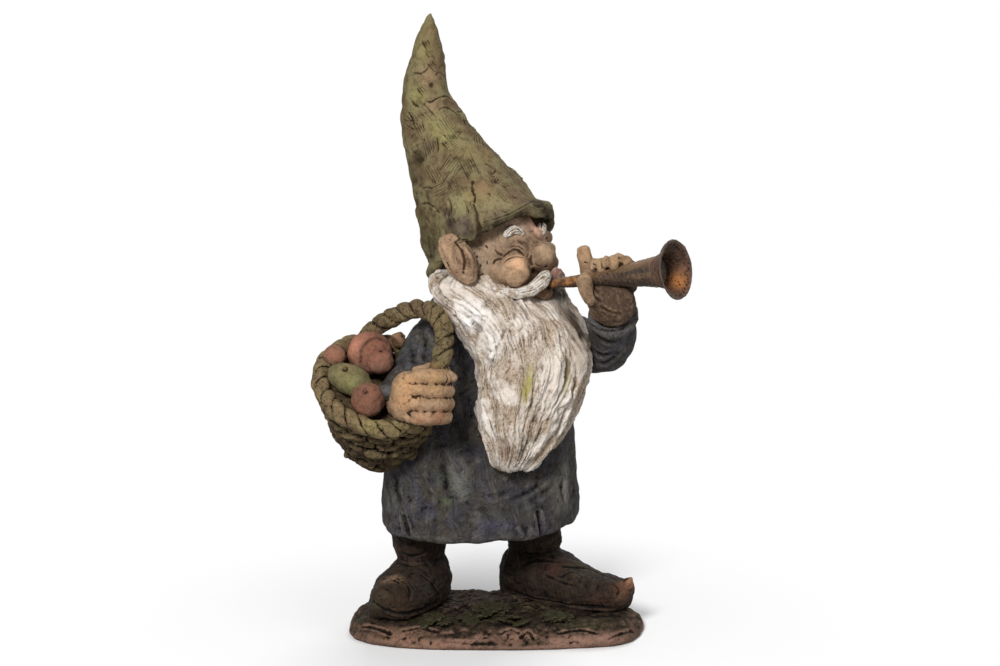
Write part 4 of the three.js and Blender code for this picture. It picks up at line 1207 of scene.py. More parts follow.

# %% [markdown]
# ## Beard paint
# White was dragged down the strands over a brown wash, with a few streaks of moss green. Streaks also lay
# painted highlight on the lit upper left, and painted shade down both edges, at the tip and under the lip.
# Noise that is read at the combed places runs along the strands, which noise in plain space can't do.

# %% Beard paint
# White streaks on the upper left are painted highlight; the dark streaks down both edges, at the tip and
# under the lip are painted shade.
BEARD_STREAKS_LIGHT_AND_SHADE = [
    ([(534, 368), (528, 386), (523, 406)], 3.6, "a39a4a", 0.85),
    ([(530, 362), (530, 376)], 2.5, "a8a066", 0.5),
    ([(566, 352), (566, 372), (563, 398)], 3.0, "9a9150", 0.75),
    ([(575, 330), (580, 350), (582, 380)], 5.0, "93806b", 0.6),
    ([(432, 290), (440, 300), (448, 330)], 4.0, "8b7766", 0.5),
    ([(478, 296), (476, 318), (470, 334)], 7.0, "f8f4f0", 0.9),
    ([(460, 296), (464, 316), (466, 334)], 6.0, "f6f1ec", 0.9),
    ([(500, 326), (493, 346), (488, 366)], 5.0, "f5f0ea", 0.8),
    ([(556, 345), (562, 358)], 4.0, "efe8dc", 0.55),
    ([(498, 436), (506, 452), (514, 464)], 7.0, "806650", 0.7),
    ([(520, 304), (530, 312), (545, 314)], 6.0, "a58f7d", 0.5),
    ([(590, 345), (588, 390), (575, 430)], 4.0, "8f7d68", 0.5),
    ([(562, 300), (571, 314), (580, 332), (587, 348)], 10.0, "33261d", 1.0),
    ([(566, 304), (575, 320), (583, 338)], 3.0, "3a2f26", 1.0),
    ([(545, 293), (553, 293), (560, 293), (566, 296), (570, 301)], 8.5, "26180f", 1.0),
]
beard.streaks(BEARD_STREAKS_LIGHT_AND_SHADE)
beard.weather(3, 26)
beard.mesh.attributes.new("comb", "FLOAT_VECTOR", "POINT").data.foreach_set("vector", combed.ravel())
beard_paint = Paint("beard_paint", Specular_IOR_Level=0.1)
grain = {"Vector": beard_paint.mark("comb", "Vector"), "Scale": 0.6, "Detail": 5.0}
strand = beard_paint.add("ShaderNodeTexNoise", {}, grain)
drift = beard_paint.noise(16, 3.0)
speck = beard_paint.noise(1.2, 4.0)
colour = beard_paint.mix(drift.step(0.4, 0.62), "dacfc3", "b3a18d")
tinted = beard_paint.mark("tint", "Alpha") * (0.5 + strand)
colour = beard_paint.mix(tinted, colour, beard_paint.mark("tint", "Color"))
rubbed = beard_paint.mark("rub") * strand.step(0.42, 0.6) * (0.8 - tinted * 0.7)
colour = beard_paint.mix(rubbed, colour, "f1ece6")
stain = strand.step(0.5, 0.62) * 0.6 + speck.step(0.5, 0.64) * 0.5
colour = beard_paint.mix(stain * drift.step(0.3, 0.6) * (1 - tinted * 0.8), colour, "6f5a47")
colour = beard_paint.mix(beard_paint.mark("wash") * (0.3 + drift * 0.9), colour, "4f3c2c")
beard_paint.feed("Base Color", colour)
beard_paint.feed("Roughness", 0.6 + speck * 0.2)
beard_paint.bump(strand * 1.4 + speck * 0.8, 0.9)
beard.finished(beard_paint.material, "beard_hair")

# %% [markdown]
# ## Tunic
# The coat is one slab wrapped round the body, with two rolls for the sleeves, smeared together and left
# rough from the fingers. Knitting the CAD nodes smears the joints, and the folds are drawn where the
# photograph shows them. A cloth simulation would hang too softly: these folds are pressed, and end short.

# %% Tunic
COAT = ["tunic", "right_sleeve", "left_sleeve", "right_cuff", "left_cuff"]
tunic = Clay("tunic_cloth", COAT, 1.16, swell=0.6, ease=18)
tunic.fill(10)
tunic.lumps(34, 1.2)
tunic.lumps(13, 0.7)
tunic.lumps(5, 0.3)
tunic.settle()
# Folds and creases: corners in the picture, then width and depth.
FOLDS = [
    ([(473, 491), (484, 495), (497, 495), (516, 487)], 2.2, 0.45),
    ([(505, 502), (522, 495), (543, 482)], 2.0, 0.4),
    ([(522, 507), (539, 496), (559, 479)], 2.2, 0.45),
    ([(462, 500), (474, 508), (488, 510)], 2.2, 0.4),
    ([(566, 470), (562, 490), (566, 508)], 2.2, 0.9),
    ([(398, 470), (396, 492), (404, 512)], 3.4, 1.4),
    ([(420, 476), (424, 500), (418, 522)], 4.0, 1.6),
    ([(448, 446), (454, 470), (464, 496)], 4.0, -1.6),
    ([(440, 450), (444, 474), (450, 500)], 4.0, 1.6),
    ([(538, 510), (540, 522), (542, 538)], 1.7, 3.6),
    ([(402, 514), (406, 528), (409, 542)], 1.8, 4.2),
    ([(434, 372), (446, 392), (452, 420)], 3.5, 1.6),
    ([(404, 340), (412, 352), (414, 368)], 2.4, 0.9),
    ([(420, 326), (426, 344), (424, 362)], 2.4, 0.9),
    ([(596, 336), (606, 342), (618, 342)], 2.0, 1.1),
    ([(592, 350), (604, 356), (618, 352)], 2.2, 1.1),
    ([(598, 364), (608, 362), (622, 350)], 2.0, 1.0),
    ([(586, 322), (598, 328), (612, 330), (628, 328)], 1.1, 1.2),
]
HEM_LINES = [
    ([(516, 526), (520, 531), (523, 538)], 2.0, -2.2),
    ([(527, 527), (526, 533), (528, 538)], 1.0, 1.4),
]
tunic.draw(FOLDS, lip=0.25, ends=0.35)
tunic.draw(HEM_LINES, ends=0.3)
tunic.settle()
brushed = tunic.points * [1, 1, 0.18] + 3 * np.stack([cloud(tunic.points, 20)] * 3, 1)
tunic.combed(brushed, 9, 0.25)
tunic.combed(brushed + 40, 4, 0.15)
tunic.settle()
tunic.crumble(16, 0.5, 2)
print("tunic", len(FOLDS), "folds")

# %% [markdown]
# ## Tunic paint
# The colour was brushed on in short strokes of slate, violet grey and moss green that never quite cover
# each other. So the paint here is laid the same way: a few hundred soft strokes at random on the skin, then
# the larger streaks of the photograph, among them painted shade under the beard and painted light down the
# right side.

# %% Tunic paint
SLATES = ["504f57", "5c5b62", "38373b", "62625c", "4e4e45", "4b4652", "2b2a2d", "6a6863", "3f3f43"]
marks = np.random.default_rng(23)
for number in marks.integers(0, len(tunic.points), 420):
    line = tunic.lay(number, marks.normal(1.1, 0.5), marks.uniform(12, 42), bend=marks.uniform(-10, 10))
    tunic.smear(line, marks.uniform(1.3, 3.4), SLATES[marks.integers(len(SLATES))], marks.uniform(0.25, 0.6))
# The dark streaks under the beard are painted shade, and the pale ones down the right side painted light.
TUNIC_STREAKS_LIGHT_AND_SHADE = [
    ([(455, 470), (459, 486), (465, 502)], 5.0, "777870", 0.6),
    ([(452, 462), (452, 480), (456, 494)], 3.0, "6c6d62", 0.5),
    ([(445, 496), (448, 506)], 4.0, "4c5a34", 0.55),
    ([(464, 438), (468, 448)], 4.0, "3f4834", 0.5),
    ([(440, 470), (446, 488)], 4.0, "4a5440", 0.45),
    ([(470, 522), (500, 526), (520, 524)], 4.0, "55536a", 0.4),
    ([(425, 500), (432, 520)], 5.0, "4e4d5e", 0.4),
    ([(564, 450), (566, 480), (568, 515)], 5.0, "8a867e", 0.7),
    ([(552, 516), (562, 510), (570, 514)], 3.0, "605c50", 0.45),
    ([(554, 470), (559, 498), (561, 520)], 6.0, "7a766e", 0.6),
    ([(506, 474), (540, 466), (568, 448)], 7.0, "27272c", 0.6),
    ([(452, 400), (464, 440), (490, 470)], 6.0, "1f1f24", 0.55),
    ([(420, 366), (408, 380), (404, 392)], 6.0, "4f544c", 0.5),
    ([(400, 345), (412, 350)], 5.0, "565b58", 0.45),
    ([(396, 474), (394, 500), (400, 520)], 4.0, "565a54", 0.4),
    ([(590, 330), (612, 338)], 4.0, "5a5650", 0.5),
]
tunic.streaks(TUNIC_STREAKS_LIGHT_AND_SHADE)
tunic.weather(3, 22)
COAT_COLOURS = ("3d3b3e", "443f38", "110f10", "787370")
tunic_paint = painted("tunic_paint", *COAT_COLOURS, patch=13.0, stain=0.35, brush=0.6, washed=0.65)
tunic.finished(tunic_paint, "tunic_cloth")

# %% [markdown]
# ## Hands
# A hand is a ball of clay with rolls for fingers. The rolls and the knuckles are laid on again as strings
# of pellets where the photograph shows them, and a few creases are drawn with a stick. The palm behind the
# horn is in its shade, which is painted on as dark dabs and a dark coat.

# %% Hands
HAND_PELLETS = {
    "right": [
        ([(419, 376), (432, 376.5), (445, 377.5)], 4.7, 1.5),
        ([(416, 389), (432, 390), (447, 390.5)], 5.0, 1.7),
        ([(415, 403), (432, 404), (447, 404)], 5.0, 1.7),
        ([(417, 417), (432, 418), (445, 416.5)], 4.8, 1.5),
        ([(449, 376), (452, 378)], 3.4, 1.6),
        ([(408, 388), (405, 405)], 11.0, 1.0),
    ],
    "left": [
        ([(584.5, 251), (586, 258)], 3.9, 1.8),
        ([(586, 260), (587.5, 271)], 4.7, 1.8),
        ([(602, 266)], 5.3, 2.4),
        ([(614, 262.5)], 5.0, 2.4),
        ([(626, 262.5)], 4.6, 2.4),
        ([(585, 281), (586, 289), (591, 298)], 4.9, 1.8),
        ([(604, 300), (616, 304)], 11.0, 0.5),
    ],
}
HAND_LINES = {
    "right": [([(446, 374), (448, 379), (446, 384)], 0.8, 0.8)],
    "left": [
        ([(584, 262), (588, 263)], 0.7, 0.4),
        ([(594, 262), (594.5, 267), (595, 272)], 1.8, 0.8),
        ([(608, 257), (608.3, 263), (609, 270)], 1.8, 0.8),
        ([(620, 256), (620.5, 262), (621, 268)], 1.8, 0.7),
        ([(594, 288), (596, 296), (602, 303)], 1.2, 1.0),
        ([(600, 306), (610, 312), (622, 314)], 1.2, 0.7),
    ],
}
HAND_PATCHES_AND_SHADE = {
    "right": [
        (408, 385, 9, "c79a6d", 0.7),
        (404, 400, 8, "c0946a", 0.6),
        (436, 378, 6, "b58d60", 0.6),
        (436, 390, 6, "b08a5e", 0.5),
        (440, 418, 6, "935b44", 0.6),
        (420, 420, 6, "a06c50", 0.5),
    ],
    "left": [
        (586, 255, 5, "b3906c", 0.7),
        (601, 264, 4, "a98c68", 0.7),
        (614, 262, 4, "a58560", 0.7),
        (627, 262, 4, "9c7a58", 0.7),
        (586, 285, 6, "857059", 0.8),
        # Painted shade on the palm behind the horn.
        (612, 306, 14, "4a3a2e", 0.95),
        (600, 296, 9, "5a4838", 0.9),
        (624, 296, 9, "483a2e", 0.9),
        (600, 312, 9, "4f3f32", 0.9),
        (626, 314, 10, "43352a", 0.9),
        (610, 286, 8, "54412f", 0.8),
        (630, 284, 7, "4f3d2e", 0.8),
    ],
}
PALM_LEFT = (590, 598)
PALM_TOP = (277, 285)
hand_paint = painted("hand_paint", "a18569", "8a6e57", "35261b", "cbae8a", washed=1.3, **SKIN)
for side in ("right", "left"):
    lump = pellets([f"{side}_hand"], HAND_PELLETS[side])
    hand = Clay(f"{side}_fist", [f"{side}_hand"], 0.5, swell=0.4, ease=16, extra=lump)
    hand.fill(6)
    for corners, width, depth in HAND_LINES[side]:
        line = hand.trace(corners)
        if len(line) > 2:
            hand.press(line, width, depth, lip=0.15 * depth, ends=0.2)
    hand.settle()
    hand.lumps(6, 0.4)
    hand.crumble(5, 0.15, 2)
    hand.patches(HAND_PATCHES_AND_SHADE[side])
    # Painted shade: a dark coat on the palm behind the horn.
    if side == "left":
        seen = FRONT.picture(hand.points)
        palm_shade = smooth(*PALM_LEFT, seen[:, 0]) * smooth(*PALM_TOP, seen[:, 1])
        hand.coat(0.92 * palm_shade, "4c3d33")
    hand.weather(4, 26, 0.055)
    hand.finished(hand_paint, "skin")

# %% [markdown]
# ## Boots and legs
# Boots and trouser legs are dark, scratched clay. The left toe is rubbed back to the bare, redder body, and
# the right toe has a pale brown dab. Each leg is knitted to its boot, because the maker smeared that joint
# away.

# %% Boots and legs
BOOT_LINES = {
    "right": [
        ([(396, 562), (412, 566), (430, 564)], 1.2, 1.2),
        ([(398, 552), (412, 556), (426, 552)], 1.0, 0.8),
        ([(370, 600), (390, 612), (415, 612), (440, 600)], 1.3, 1.3),
        ([(402, 580), (410, 590), (408, 602)], 1.2, 0.9),
        ([(420, 574), (432, 584), (440, 596)], 1.2, 0.9),
        ([(382, 586), (392, 580), (400, 584)], 1.0, 0.8),
    ],
    "left": [
        ([(520, 566), (540, 560), (560, 562)], 1.2, 1.2),
        ([(524, 552), (540, 554), (556, 550)], 1.0, 0.8),
        ([(508, 590), (540, 600), (580, 606), (616, 608)], 1.2, 1.3),
        ([(562, 566), (584, 568), (606, 576), (618, 582)], 1.0, 1.4),
        ([(540, 572), (556, 580), (580, 588)], 1.1, 0.8),
        ([(612, 584), (618, 590), (616, 600)], 1.0, 0.8),
        ([(560, 578), (572, 572), (586, 576)], 0.9, 0.7),
    ],
}
BOOT_PATCHES = {
    "right": [
        (391, 580, 7, "8b7057", 0.95),
        (386, 596, 8, "4b3d2e", 0.7),
        (410, 558, 8, "3a2821", 0.6),
        (402, 602, 7, "412e23", 0.6),
        (428, 588, 8, "33302a", 0.6),
        (375, 606, 5, "4a4a34", 0.5),
    ],
    "left": [
        (631, 582, 6, "b07f62", 0.95),
        (624, 592, 7, "634534", 0.8),
        (584, 570, 9, "3c3d28", 0.6),
        (552, 566, 8, "4b2f28", 0.6),
        (600, 604, 8, "473027", 0.7),
        (530, 590, 8, "2a1f1a", 0.6),
        (566, 594, 8, "352a20", 0.6),
    ],
}
BOOT_PULLS = {"right": [], "left": [(590, 568, 20, (0, 0, -3)), (556, 540, 8, (3, 0, 0))]}
boot_paint = painted("boot_paint", "261c16", "2f251d", "090706", "524336", patch=12.0, stain=0.5, shine=0.12)
for side in ("right", "left"):
    boot = Clay(f"{side}_boot_and_leg", [f"{side}_boot", f"{side}_leg"], 0.75, swell=0.5, ease=30)
    boot.fill(10)
    for pull in BOOT_PULLS[side]:
        boot.grab(*pull)
    boot.lumps(14, 1.0)
    boot.lumps(6, 0.6)
    boot.settle()
    boot.draw(BOOT_LINES[side], lip=0.3, ends=0.3)
    boot.settle()
    boot.crumble(13, 0.7, 3)
    boot.settle()
    boot.combed(boot.points * [0.25, 0.6, 1] + 9, 5, 0.25)
    boot.patches(BOOT_PATCHES[side])
    boot.weather(3, 24)
    boot.finished(boot_paint, "boot_leather")

# %% [markdown]
# ## Plinth
# The plinth is a beaten cake of earth, cut up with a stick on top and cracked round its rim. The figure
# stands on its underside, so the relief fades out near the floor, and nothing goes below it.

# %% Plinth
PLINTH_PULLS = [(618, 630, 26, (3, -8, 0)), (632, 618, 12, (-2, 0, 0))]
plinth = Clay("plinth_earth", ["plinth"], 1.0, swell=0.3, ease=20)
foot = plinth.points[:, 2].min()
standing = smooth(foot + 1, foot + 6, plinth.points[:, 2])
for pull in PLINTH_PULLS:
    plinth.grab(*pull)
rise = plinth.points.copy()
plinth.lumps(24, 1.4)
plinth.lumps(9, 0.9)
plinth.lumps(4, 0.4)
plinth.settle()
DUG_AREA = ((440, 588), (560, 614))
dig = np.random.default_rng(41)
for _ in range(90):
    across, down = dig.uniform(*DUG_AREA)
    tilt = dig.normal(0.1, 0.35)
    reach = dig.uniform(4, 11)
    line = plinth.trace([(across - reach, down - reach * tilt), (across + reach, down + reach * tilt)])
    if len(line) > 3:
        plinth.press(line, dig.uniform(0.9, 1.6), dig.uniform(-1.4, 1.4), lip=0.3, ends=0.3)
plinth.settle()
RIM_LINES = [
    ([(362, 626), (376, 628), (392, 634)], 1.2, 1.2),
    ([(400, 632), (420, 628), (440, 632)], 1.2, 1.0),
    ([(520, 638), (528, 632), (534, 640)], 1.0, 1.2),
    ([(500, 634), (510, 630), (520, 634)], 1.0, 1.0),
    ([(556, 634), (580, 630), (600, 634)], 1.2, 1.0),
    ([(606, 640), (620, 634), (636, 630)], 1.2, 1.0),
    ([(440, 640), (470, 644), (500, 642)], 1.4, 0.8),
]
plinth.draw(RIM_LINES, lip=0.4, ends=0.2)
plinth.settle()
plinth.crumble(14, 0.8, 3)
plinth.settle()
plinth.combed(plinth.points * [0.2, 0.2, 1], 6, 0.7)
plinth.points = rise + (plinth.points - rise) * standing[:, None]
plinth.points[:, 2] = np.maximum(plinth.points[:, 2], 0.0)
plinth.settle()
print("plinth stands at", round(float(plinth.points[:, 2].min()), 2), "mm")

# %% [markdown]
# ## Plinth paint
# The rim is wiped back to terracotta, and the top is dark with moss in places. The way a point faces tells
# one from the other, so the border follows the modelled edge.

# %% Plinth paint
top = smooth(0.45, 0.8, plinth.normals[:, 2])
plinth.coat(0.95 * top, "1f1b15")
plinth.coat(0.5 * top * smooth(0.0, 0.4, cloud(plinth.points, 16)), "3f3d26")
plinth.coat(0.55 * (1 - top) * smooth(0.0, 0.4, cloud(plinth.points + 50, 15)), "86675a")
PLINTH_STREAKS = [
    ([(372, 634), (400, 641), (440, 645), (480, 647)], 4.0, "8f6c5a", 0.7),
    ([(380, 628), (410, 632), (440, 634)], 3.0, "7f604f", 0.6),
    ([(505, 638), (525, 638)], 4.0, "8a6858", 0.7),
    ([(540, 640), (580, 640), (620, 634)], 4.0, "957364", 0.7),
    ([(352, 626), (358, 634), (368, 638)], 4.0, "55443a", 0.6),
    ([(626, 622), (636, 628), (640, 636)], 4.0, "4d3d34", 0.6),
    ([(484, 634), (500, 640), (512, 646)], 4.0, "5a4438", 0.5),
    ([(470, 596), (500, 598), (525, 604)], 7.0, "2b2a28", 0.7),
    ([(450, 612), (500, 614), (560, 618)], 6.0, "2a2318", 0.6),
]
plinth.streaks(PLINTH_STREAKS, ends=0.15)
plinth.weather(3, 22)
plinth_paint = painted("plinth_paint", "705748", "544339", "150f0b", "a08370", patch=12.0, stain=0.4)
plinth.finished(plinth_paint, "plinth_earth")

# %% [markdown]
# ## Leaves
# Small scalloped leaves lie over each other on the earth, as if cut with a pastry wheel. Each is a
# flattened ball whose rim is drawn in between its lobes and whose middle is dished, which keeps it a closed
# body with an edge that catches light. A flat disc would vanish against the ground.

# %% Leaves
LEAF_LOBES = 9
ABOVE_PLINTH = 200.0


def add_leaf(form, place, heading, size):
    """A dished, scalloped leaf that lies at a place, in millimetres."""
    made = bmesh.ops.create_uvsphere(form, u_segments=54, v_segments=10, radius=1.0)
    for point in made["verts"]:
        x, y, z = point.co
        reach = math.hypot(x, y)
        turn = math.atan2(y, x)
        lobe = 1 - 0.26 * abs(math.cos(turn * LEAF_LOBES / 2)) ** 3 * reach
        vein = 0.05 * math.cos(turn * LEAF_LOBES) * reach * (z > 0)
        notch = 1 - 0.3 * math.exp(-((turn / 0.3) ** 2)) * reach
        wide = size * lobe * notch
        lift = size * (0.17 * z + 0.2 * reach**2 - 0.12 * reach**4 + vein)
        turned = turn + heading
        point.co = Vector(
            (
                place[0] + wide * reach * math.cos(turned),
                place[1] + wide * reach * math.sin(turned),
                place[2] + lift + 0.3 * wide * reach * math.cos(turned + place[0]),
            )
        ) * MM


strew = np.random.default_rng(3)
leaf_paint = painted("leaf_paint", "2f2f1e", "3a3326", "0b0907", "5e5c43", patch=6.0, stain=0.4)
for number in range(1, 6):
    low_corner, high_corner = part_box(f"leaf_clump_{number}")
    middle = (np.array(low_corner) + np.array(high_corner)) / 2 / MM
    half = (np.array(high_corner) - np.array(low_corner)) / 2 / MM
    form = bmesh.new()
    for leaf in range(5):
        turn = leaf * 2.4 + number
        reach = 0.0 if leaf == 4 else 0.75
        aside = np.array([math.cos(turn) * half[0], math.sin(turn) * half[1]]) * reach
        spot = middle[:2] + aside
        ground = plinth.shot([*spot, ABOVE_PLINTH], [0, 0, -1])
        if ground is not None:
            size = strew.uniform(5.6, 7.6)
            add_leaf(form, [*spot, ground[2] + 1.0 + 0.5 * leaf], strew.uniform(0, 6.3), size)
    leaves = Clay(f"leaves_{number}", [f"leaf_clump_{number}"], ease=0, form=form)
    leaves.lumps(3, 0.4)
    leaves.weather(2, 12)
    leaves.finished(leaf_paint, "leaf_moss")

# %% [markdown]
# ## Basket
# The basket imitates willow. It leans, so its pieces are worked out in a frame of its own: along it, behind
# it and upward from the middle of its rim. All three pieces share one paint, with a strong wash for the
# dark gaps.

# %% Basket frame
rim_points = np.array([v.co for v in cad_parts["basket_rim"].data.vertices]) / MM
BASKET_MIDDLE = (rim_points.min(0) + rim_points.max(0)) / 2
BASKET_TURN = math.radians(18)
ALONG = np.array([math.cos(BASKET_TURN), math.sin(BASKET_TURN), 0.0])
UPWARD = np.linalg.svd(rim_points - rim_points.mean(0), full_matrices=False)[2][2]
UPWARD = UPWARD * np.sign(UPWARD[2])
BEHIND = np.cross(UPWARD, ALONG)
RIM_RADIUS = 40.0
BOWL_DEPTH = 60.0
HOOP_HEIGHT = 63.0


def in_basket(points):
    """Points in the basket's own frame."""
    return (points - BASKET_MIDDLE) @ np.stack([ALONG, BEHIND, UPWARD], 1)


def cushion(share, sharp):
    """A height of 1 in the middle of a span from 0 to 1, falling to 0 at its ends."""
    return np.clip(1 - np.abs(2 * share - 1) ** sharp, 0, 1)


WICKER_COLOURS = ("6f5b46", "7b6b4d", "120c08", "a39266")
wicker_paint = painted("wicker_paint", *WICKER_COLOURS, patch=9.0, stain=0.55, washed=1.4)
print("basket stands at", BASKET_MIDDLE.round(1), "and leans to", UPWARD.round(2))

# %% [markdown]
# ## Basket bowl
# Flat strips of clay are pressed on in courses like bricks. A strip is a low cushion with dark gaps round
# it, so its height can be worked out from a point's bearing and depth in the basket. Setting hundreds of
# separate strips would look the same and cost more.

# %% Basket bowl
COURSES = 9
STRIPS = 13
bowl = Clay("basket_bowl_weave", ["basket_bowl"], 0.7, swell=0.6, ease=40)
x, y, z = in_basket(bowl.points).T
rise = np.clip(1 + z / BOWL_DEPTH, 0, 1)
turn = np.arctan2(y, x - 7 * (1 - rise))
course = rise * COURSES + 0.25 * np.sin(2 * turn + 1) + 0.12 * cloud(bowl.points, 9)
row = np.floor(course).astype(int)
strip = turn / (2 * math.pi) * STRIPS + 0.5 * (row % 2) + 0.6 * LATTICE[row % LATTICE_SIZE, 3, 5]
number = np.floor(strip).astype(int) % STRIPS
chance = LATTICE[row % LATTICE_SIZE, number, 9]
tilt = 0.5 * (chance - 0.5) * (strip - np.floor(strip) - 0.5)
height = cushion(np.clip(course - row + tilt, 0, 1), 2.2) * cushion(strip - np.floor(strip), 5)
side = smooth(0.5, 0.1, np.abs(bowl.normals @ UPWARD))
bowl.points += bowl.normals * (side * (height * (3.4 + 3.0 * chance) - 2.8))[:, None]
bowl.settle()
bowl.combed(bowl.points * [0.3, 0.3, 1], 4, 0.7)
bowl.crumble(5, 0.4, 2)
bowl.weather(3, 24)
# A brown coat darkens the whole bowl, and darkens it more towards its foot as painted shade.
bowl.coat(0.55 + 0.4 * smooth(0.9, 0.4, rise), "463a2b")
bowl.finished(wicker_paint, "wicker")

# %% [markdown]
# ## Basket rim and handle
# A twisted rope makes the rim and the handle. Its cushions lie on a slant, so their number turns with the
# bearing round the rope as well as with the way along it. The rim is a ring, and the handle a hoop that
# leans to the fist.

# %% Basket rim and handle
RIM_TURNS = 22
HANDLE_TURNS = 15
HANDLE_LEAN = math.radians(33)
HANDLE_BEARING = math.radians(-84)


def rope(clay, along, round_rope, turns, depth):
    """Cushions on a slant, with a sharp crease between each and the next."""
    slant = along * turns + round_rope / math.pi + 0.16 * np.sin(14 * along) + 0.1 * cloud(clay.points, 7)
    lap = slant - np.floor(slant)
    height = cushion(lap, 2.6) ** 0.7 + 0.25 * lap
    clay.points += clay.normals * (depth * (height - 0.75))[:, None]
    clay.settle()
    clay.lumps(6, 0.5)
    clay.crumble(7, 0.2, 2)


RIM_PATCHES = [(345, 405, 8, "8c8352", 0.6), (370, 425, 8, "958957", 0.6), (398, 424, 8, "8f8456", 0.6)]
rim = Clay("basket_rim_rope", ["basket_rim"], 0.6, swell=0.7, ease=36)
x, y, z = in_basket(rim.points).T
rope(rim, np.arctan2(y, x) / (2 * math.pi), np.arctan2(z, np.hypot(x, y) - RIM_RADIUS), RIM_TURNS, 2.4)
rim.patches(RIM_PATCHES)
rim.weather(3, 22)
rim.finished(wicker_paint, "wicker")

handle = Clay("basket_handle_rope", ["basket_handle"], 0.55, swell=0.7, ease=30)
share = np.linspace(0, 1, 160)
across = RIM_RADIUS * np.cos(math.pi * share)
up = HOOP_HEIGHT * np.sin(math.pi * share)
aside = up * math.sin(HANDLE_LEAN)
hoop_along = math.cos(HANDLE_BEARING) * across - math.sin(HANDLE_BEARING) * aside
hoop_behind = math.sin(HANDLE_BEARING) * across + math.cos(HANDLE_BEARING) * aside
hoop = np.stack([hoop_along, hoop_behind, up * math.cos(HANDLE_LEAN)], 1)
hoop = BASKET_MIDDLE + hoop @ np.stack([ALONG, BEHIND, UPWARD])
nearest = np.zeros(len(handle.points), int)
gap = np.full(len(handle.points), 1e9)
for number, place in enumerate(hoop):
    away = np.linalg.norm(handle.points - place, axis=1)
    closer = away < gap
    gap[closer] = away[closer]
    nearest[closer] = number
plane = np.cross(hoop[40] - hoop[0], hoop[120] - hoop[0])
plane /= np.linalg.norm(plane)
outward = np.cross(np.gradient(hoop, axis=0), plane)
outward /= np.linalg.norm(outward, axis=1)[:, None]
spot = handle.points - hoop[nearest]
bearing = np.arctan2(spot @ plane, np.einsum("ij,ij->i", spot, outward[nearest]))
rope(handle, share[nearest], bearing, HANDLE_TURNS, 2.0)
HANDLE_PATCHES = [
    (425, 312, 7, "655444", 0.6),
    (400, 306, 8, "6b5c48", 0.6),
    (440, 335, 8, "676142", 0.6),
    (440, 360, 8, "646142", 0.6),
    (435, 372, 5, "94683f", 0.6),
    (378, 318, 9, "594c39", 0.6),
]
handle.patches(HANDLE_PATCHES)
handle.weather(3, 22)
handle.finished(wicker_paint, "wicker")

# %% [markdown]
# ## Fruit
# Balls of clay with a thumbed dimple and a pellet for the dried flower, each brushed in its own colour.
# The large apple also takes a painted highlight on its top, painted shade on its right side, and a ring of
# painted shadow where the red apple sits against it. They differ in little else, so one loop makes them all
# from a row each: paint, dabs and the place of the dimple.

# %% Fruit
apple_paint = painted("apple_paint", "84594a", "725545", "281a14", "ac8570", **SKIN)
pear_paint = painted("pear_paint", "756d4c", "635a40", "241d14", "948b66", **SKIN)
plum_paint = painted("plum_paint", "866851", "735845", "2f2018", "a68568", **SKIN)
# The large apple's pale dab on its top is a painted highlight, and its dark dab on its right side painted
# shade.
FRUIT = {
    "large_apple": (apple_paint, [(352, 345, 9, "c98a70", 0.85), (372, 350, 7, "7c503c", 0.6)], (352, 338)),
    "red_apple": (apple_paint, [(378, 352, 7, "84503e", 0.6)], (381, 350)),
    "small_apple": (apple_paint, [(334, 352, 6, "97684f", 0.6)], (331, 366)),
    "front_apple": (apple_paint, [(368, 398, 8, "6e4638", 0.75), (360, 405, 6, "7d5340", 0.6)], (365, 392)),
    "pear": (pear_paint, [(350, 380, 7, "827f52", 0.6), (345, 369, 5, "7c6a48", 0.6)], (345, 369)),
    "plum": (plum_paint, [], (404, 336)),
}
PLUM_MOVE = [7, 0, -1]
APPLE_SHADOW_RING = [(361, 366), (361, 352), (366, 343), (376, 338), (387, 343)]
for name, (paint, dabs_with_light_and_shade, dimple) in FRUIT.items():
    fruit = Clay(f"{name}_clay", [name], 0.55, swell=0.4, ease=40)
    if name == "plum":
        fruit.points += PLUM_MOVE
    fruit.lumps(9, 0.5)
    fruit.settle()
    fruit.dent(*dimple, 2.6, 1.3)
    fruit.settle()
    fruit.dent(*dimple, 0.9, -1.0)
    fruit.crumble(9, 0.2, 2)
    fruit.patches(dabs_with_light_and_shade)
    fruit.patch(*dimple, 1.6, "2f2018", 0.8)
    # A ring of painted shadow where the red apple sits against the large apple.
    if name == "large_apple":
        fruit.smear(fruit.trace(APPLE_SHADOW_RING), 1.5, "33201a", 0.7, ends=0.1)
    fruit.weather(4, 24)
    fruit.finished(paint, "apple" if "apple" in name else name)

# %% [markdown]
# ## Horn
# The horn is turned: a tapered tube and a flared bell. It is spun from a profile about the axis that the
# CAD pieces share, because a lathe shape wants true circles, which a knitted skin would soften.

# %% Horn
tube_points = np.array([v.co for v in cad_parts["horn_tube"].data.vertices]) / MM
bell_points = np.array([v.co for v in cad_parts["horn_bell"].data.vertices]) / MM
HORN_AHEAD = bell_points.mean(0) - tube_points.mean(0)
HORN_DROOP = 0.022
HORN_AHEAD = HORN_AHEAD / np.linalg.norm(HORN_AHEAD) - [0, 0, HORN_DROOP]
HORN_AHEAD /= np.linalg.norm(HORN_AHEAD)
HORN_START = tube_points.mean(0) + HORN_AHEAD * ((tube_points - tube_points.mean(0)) @ HORN_AHEAD).min()
HORN_ASIDE = np.cross(HORN_AHEAD, [0, 0, 1])
HORN_ASIDE /= np.linalg.norm(HORN_ASIDE)


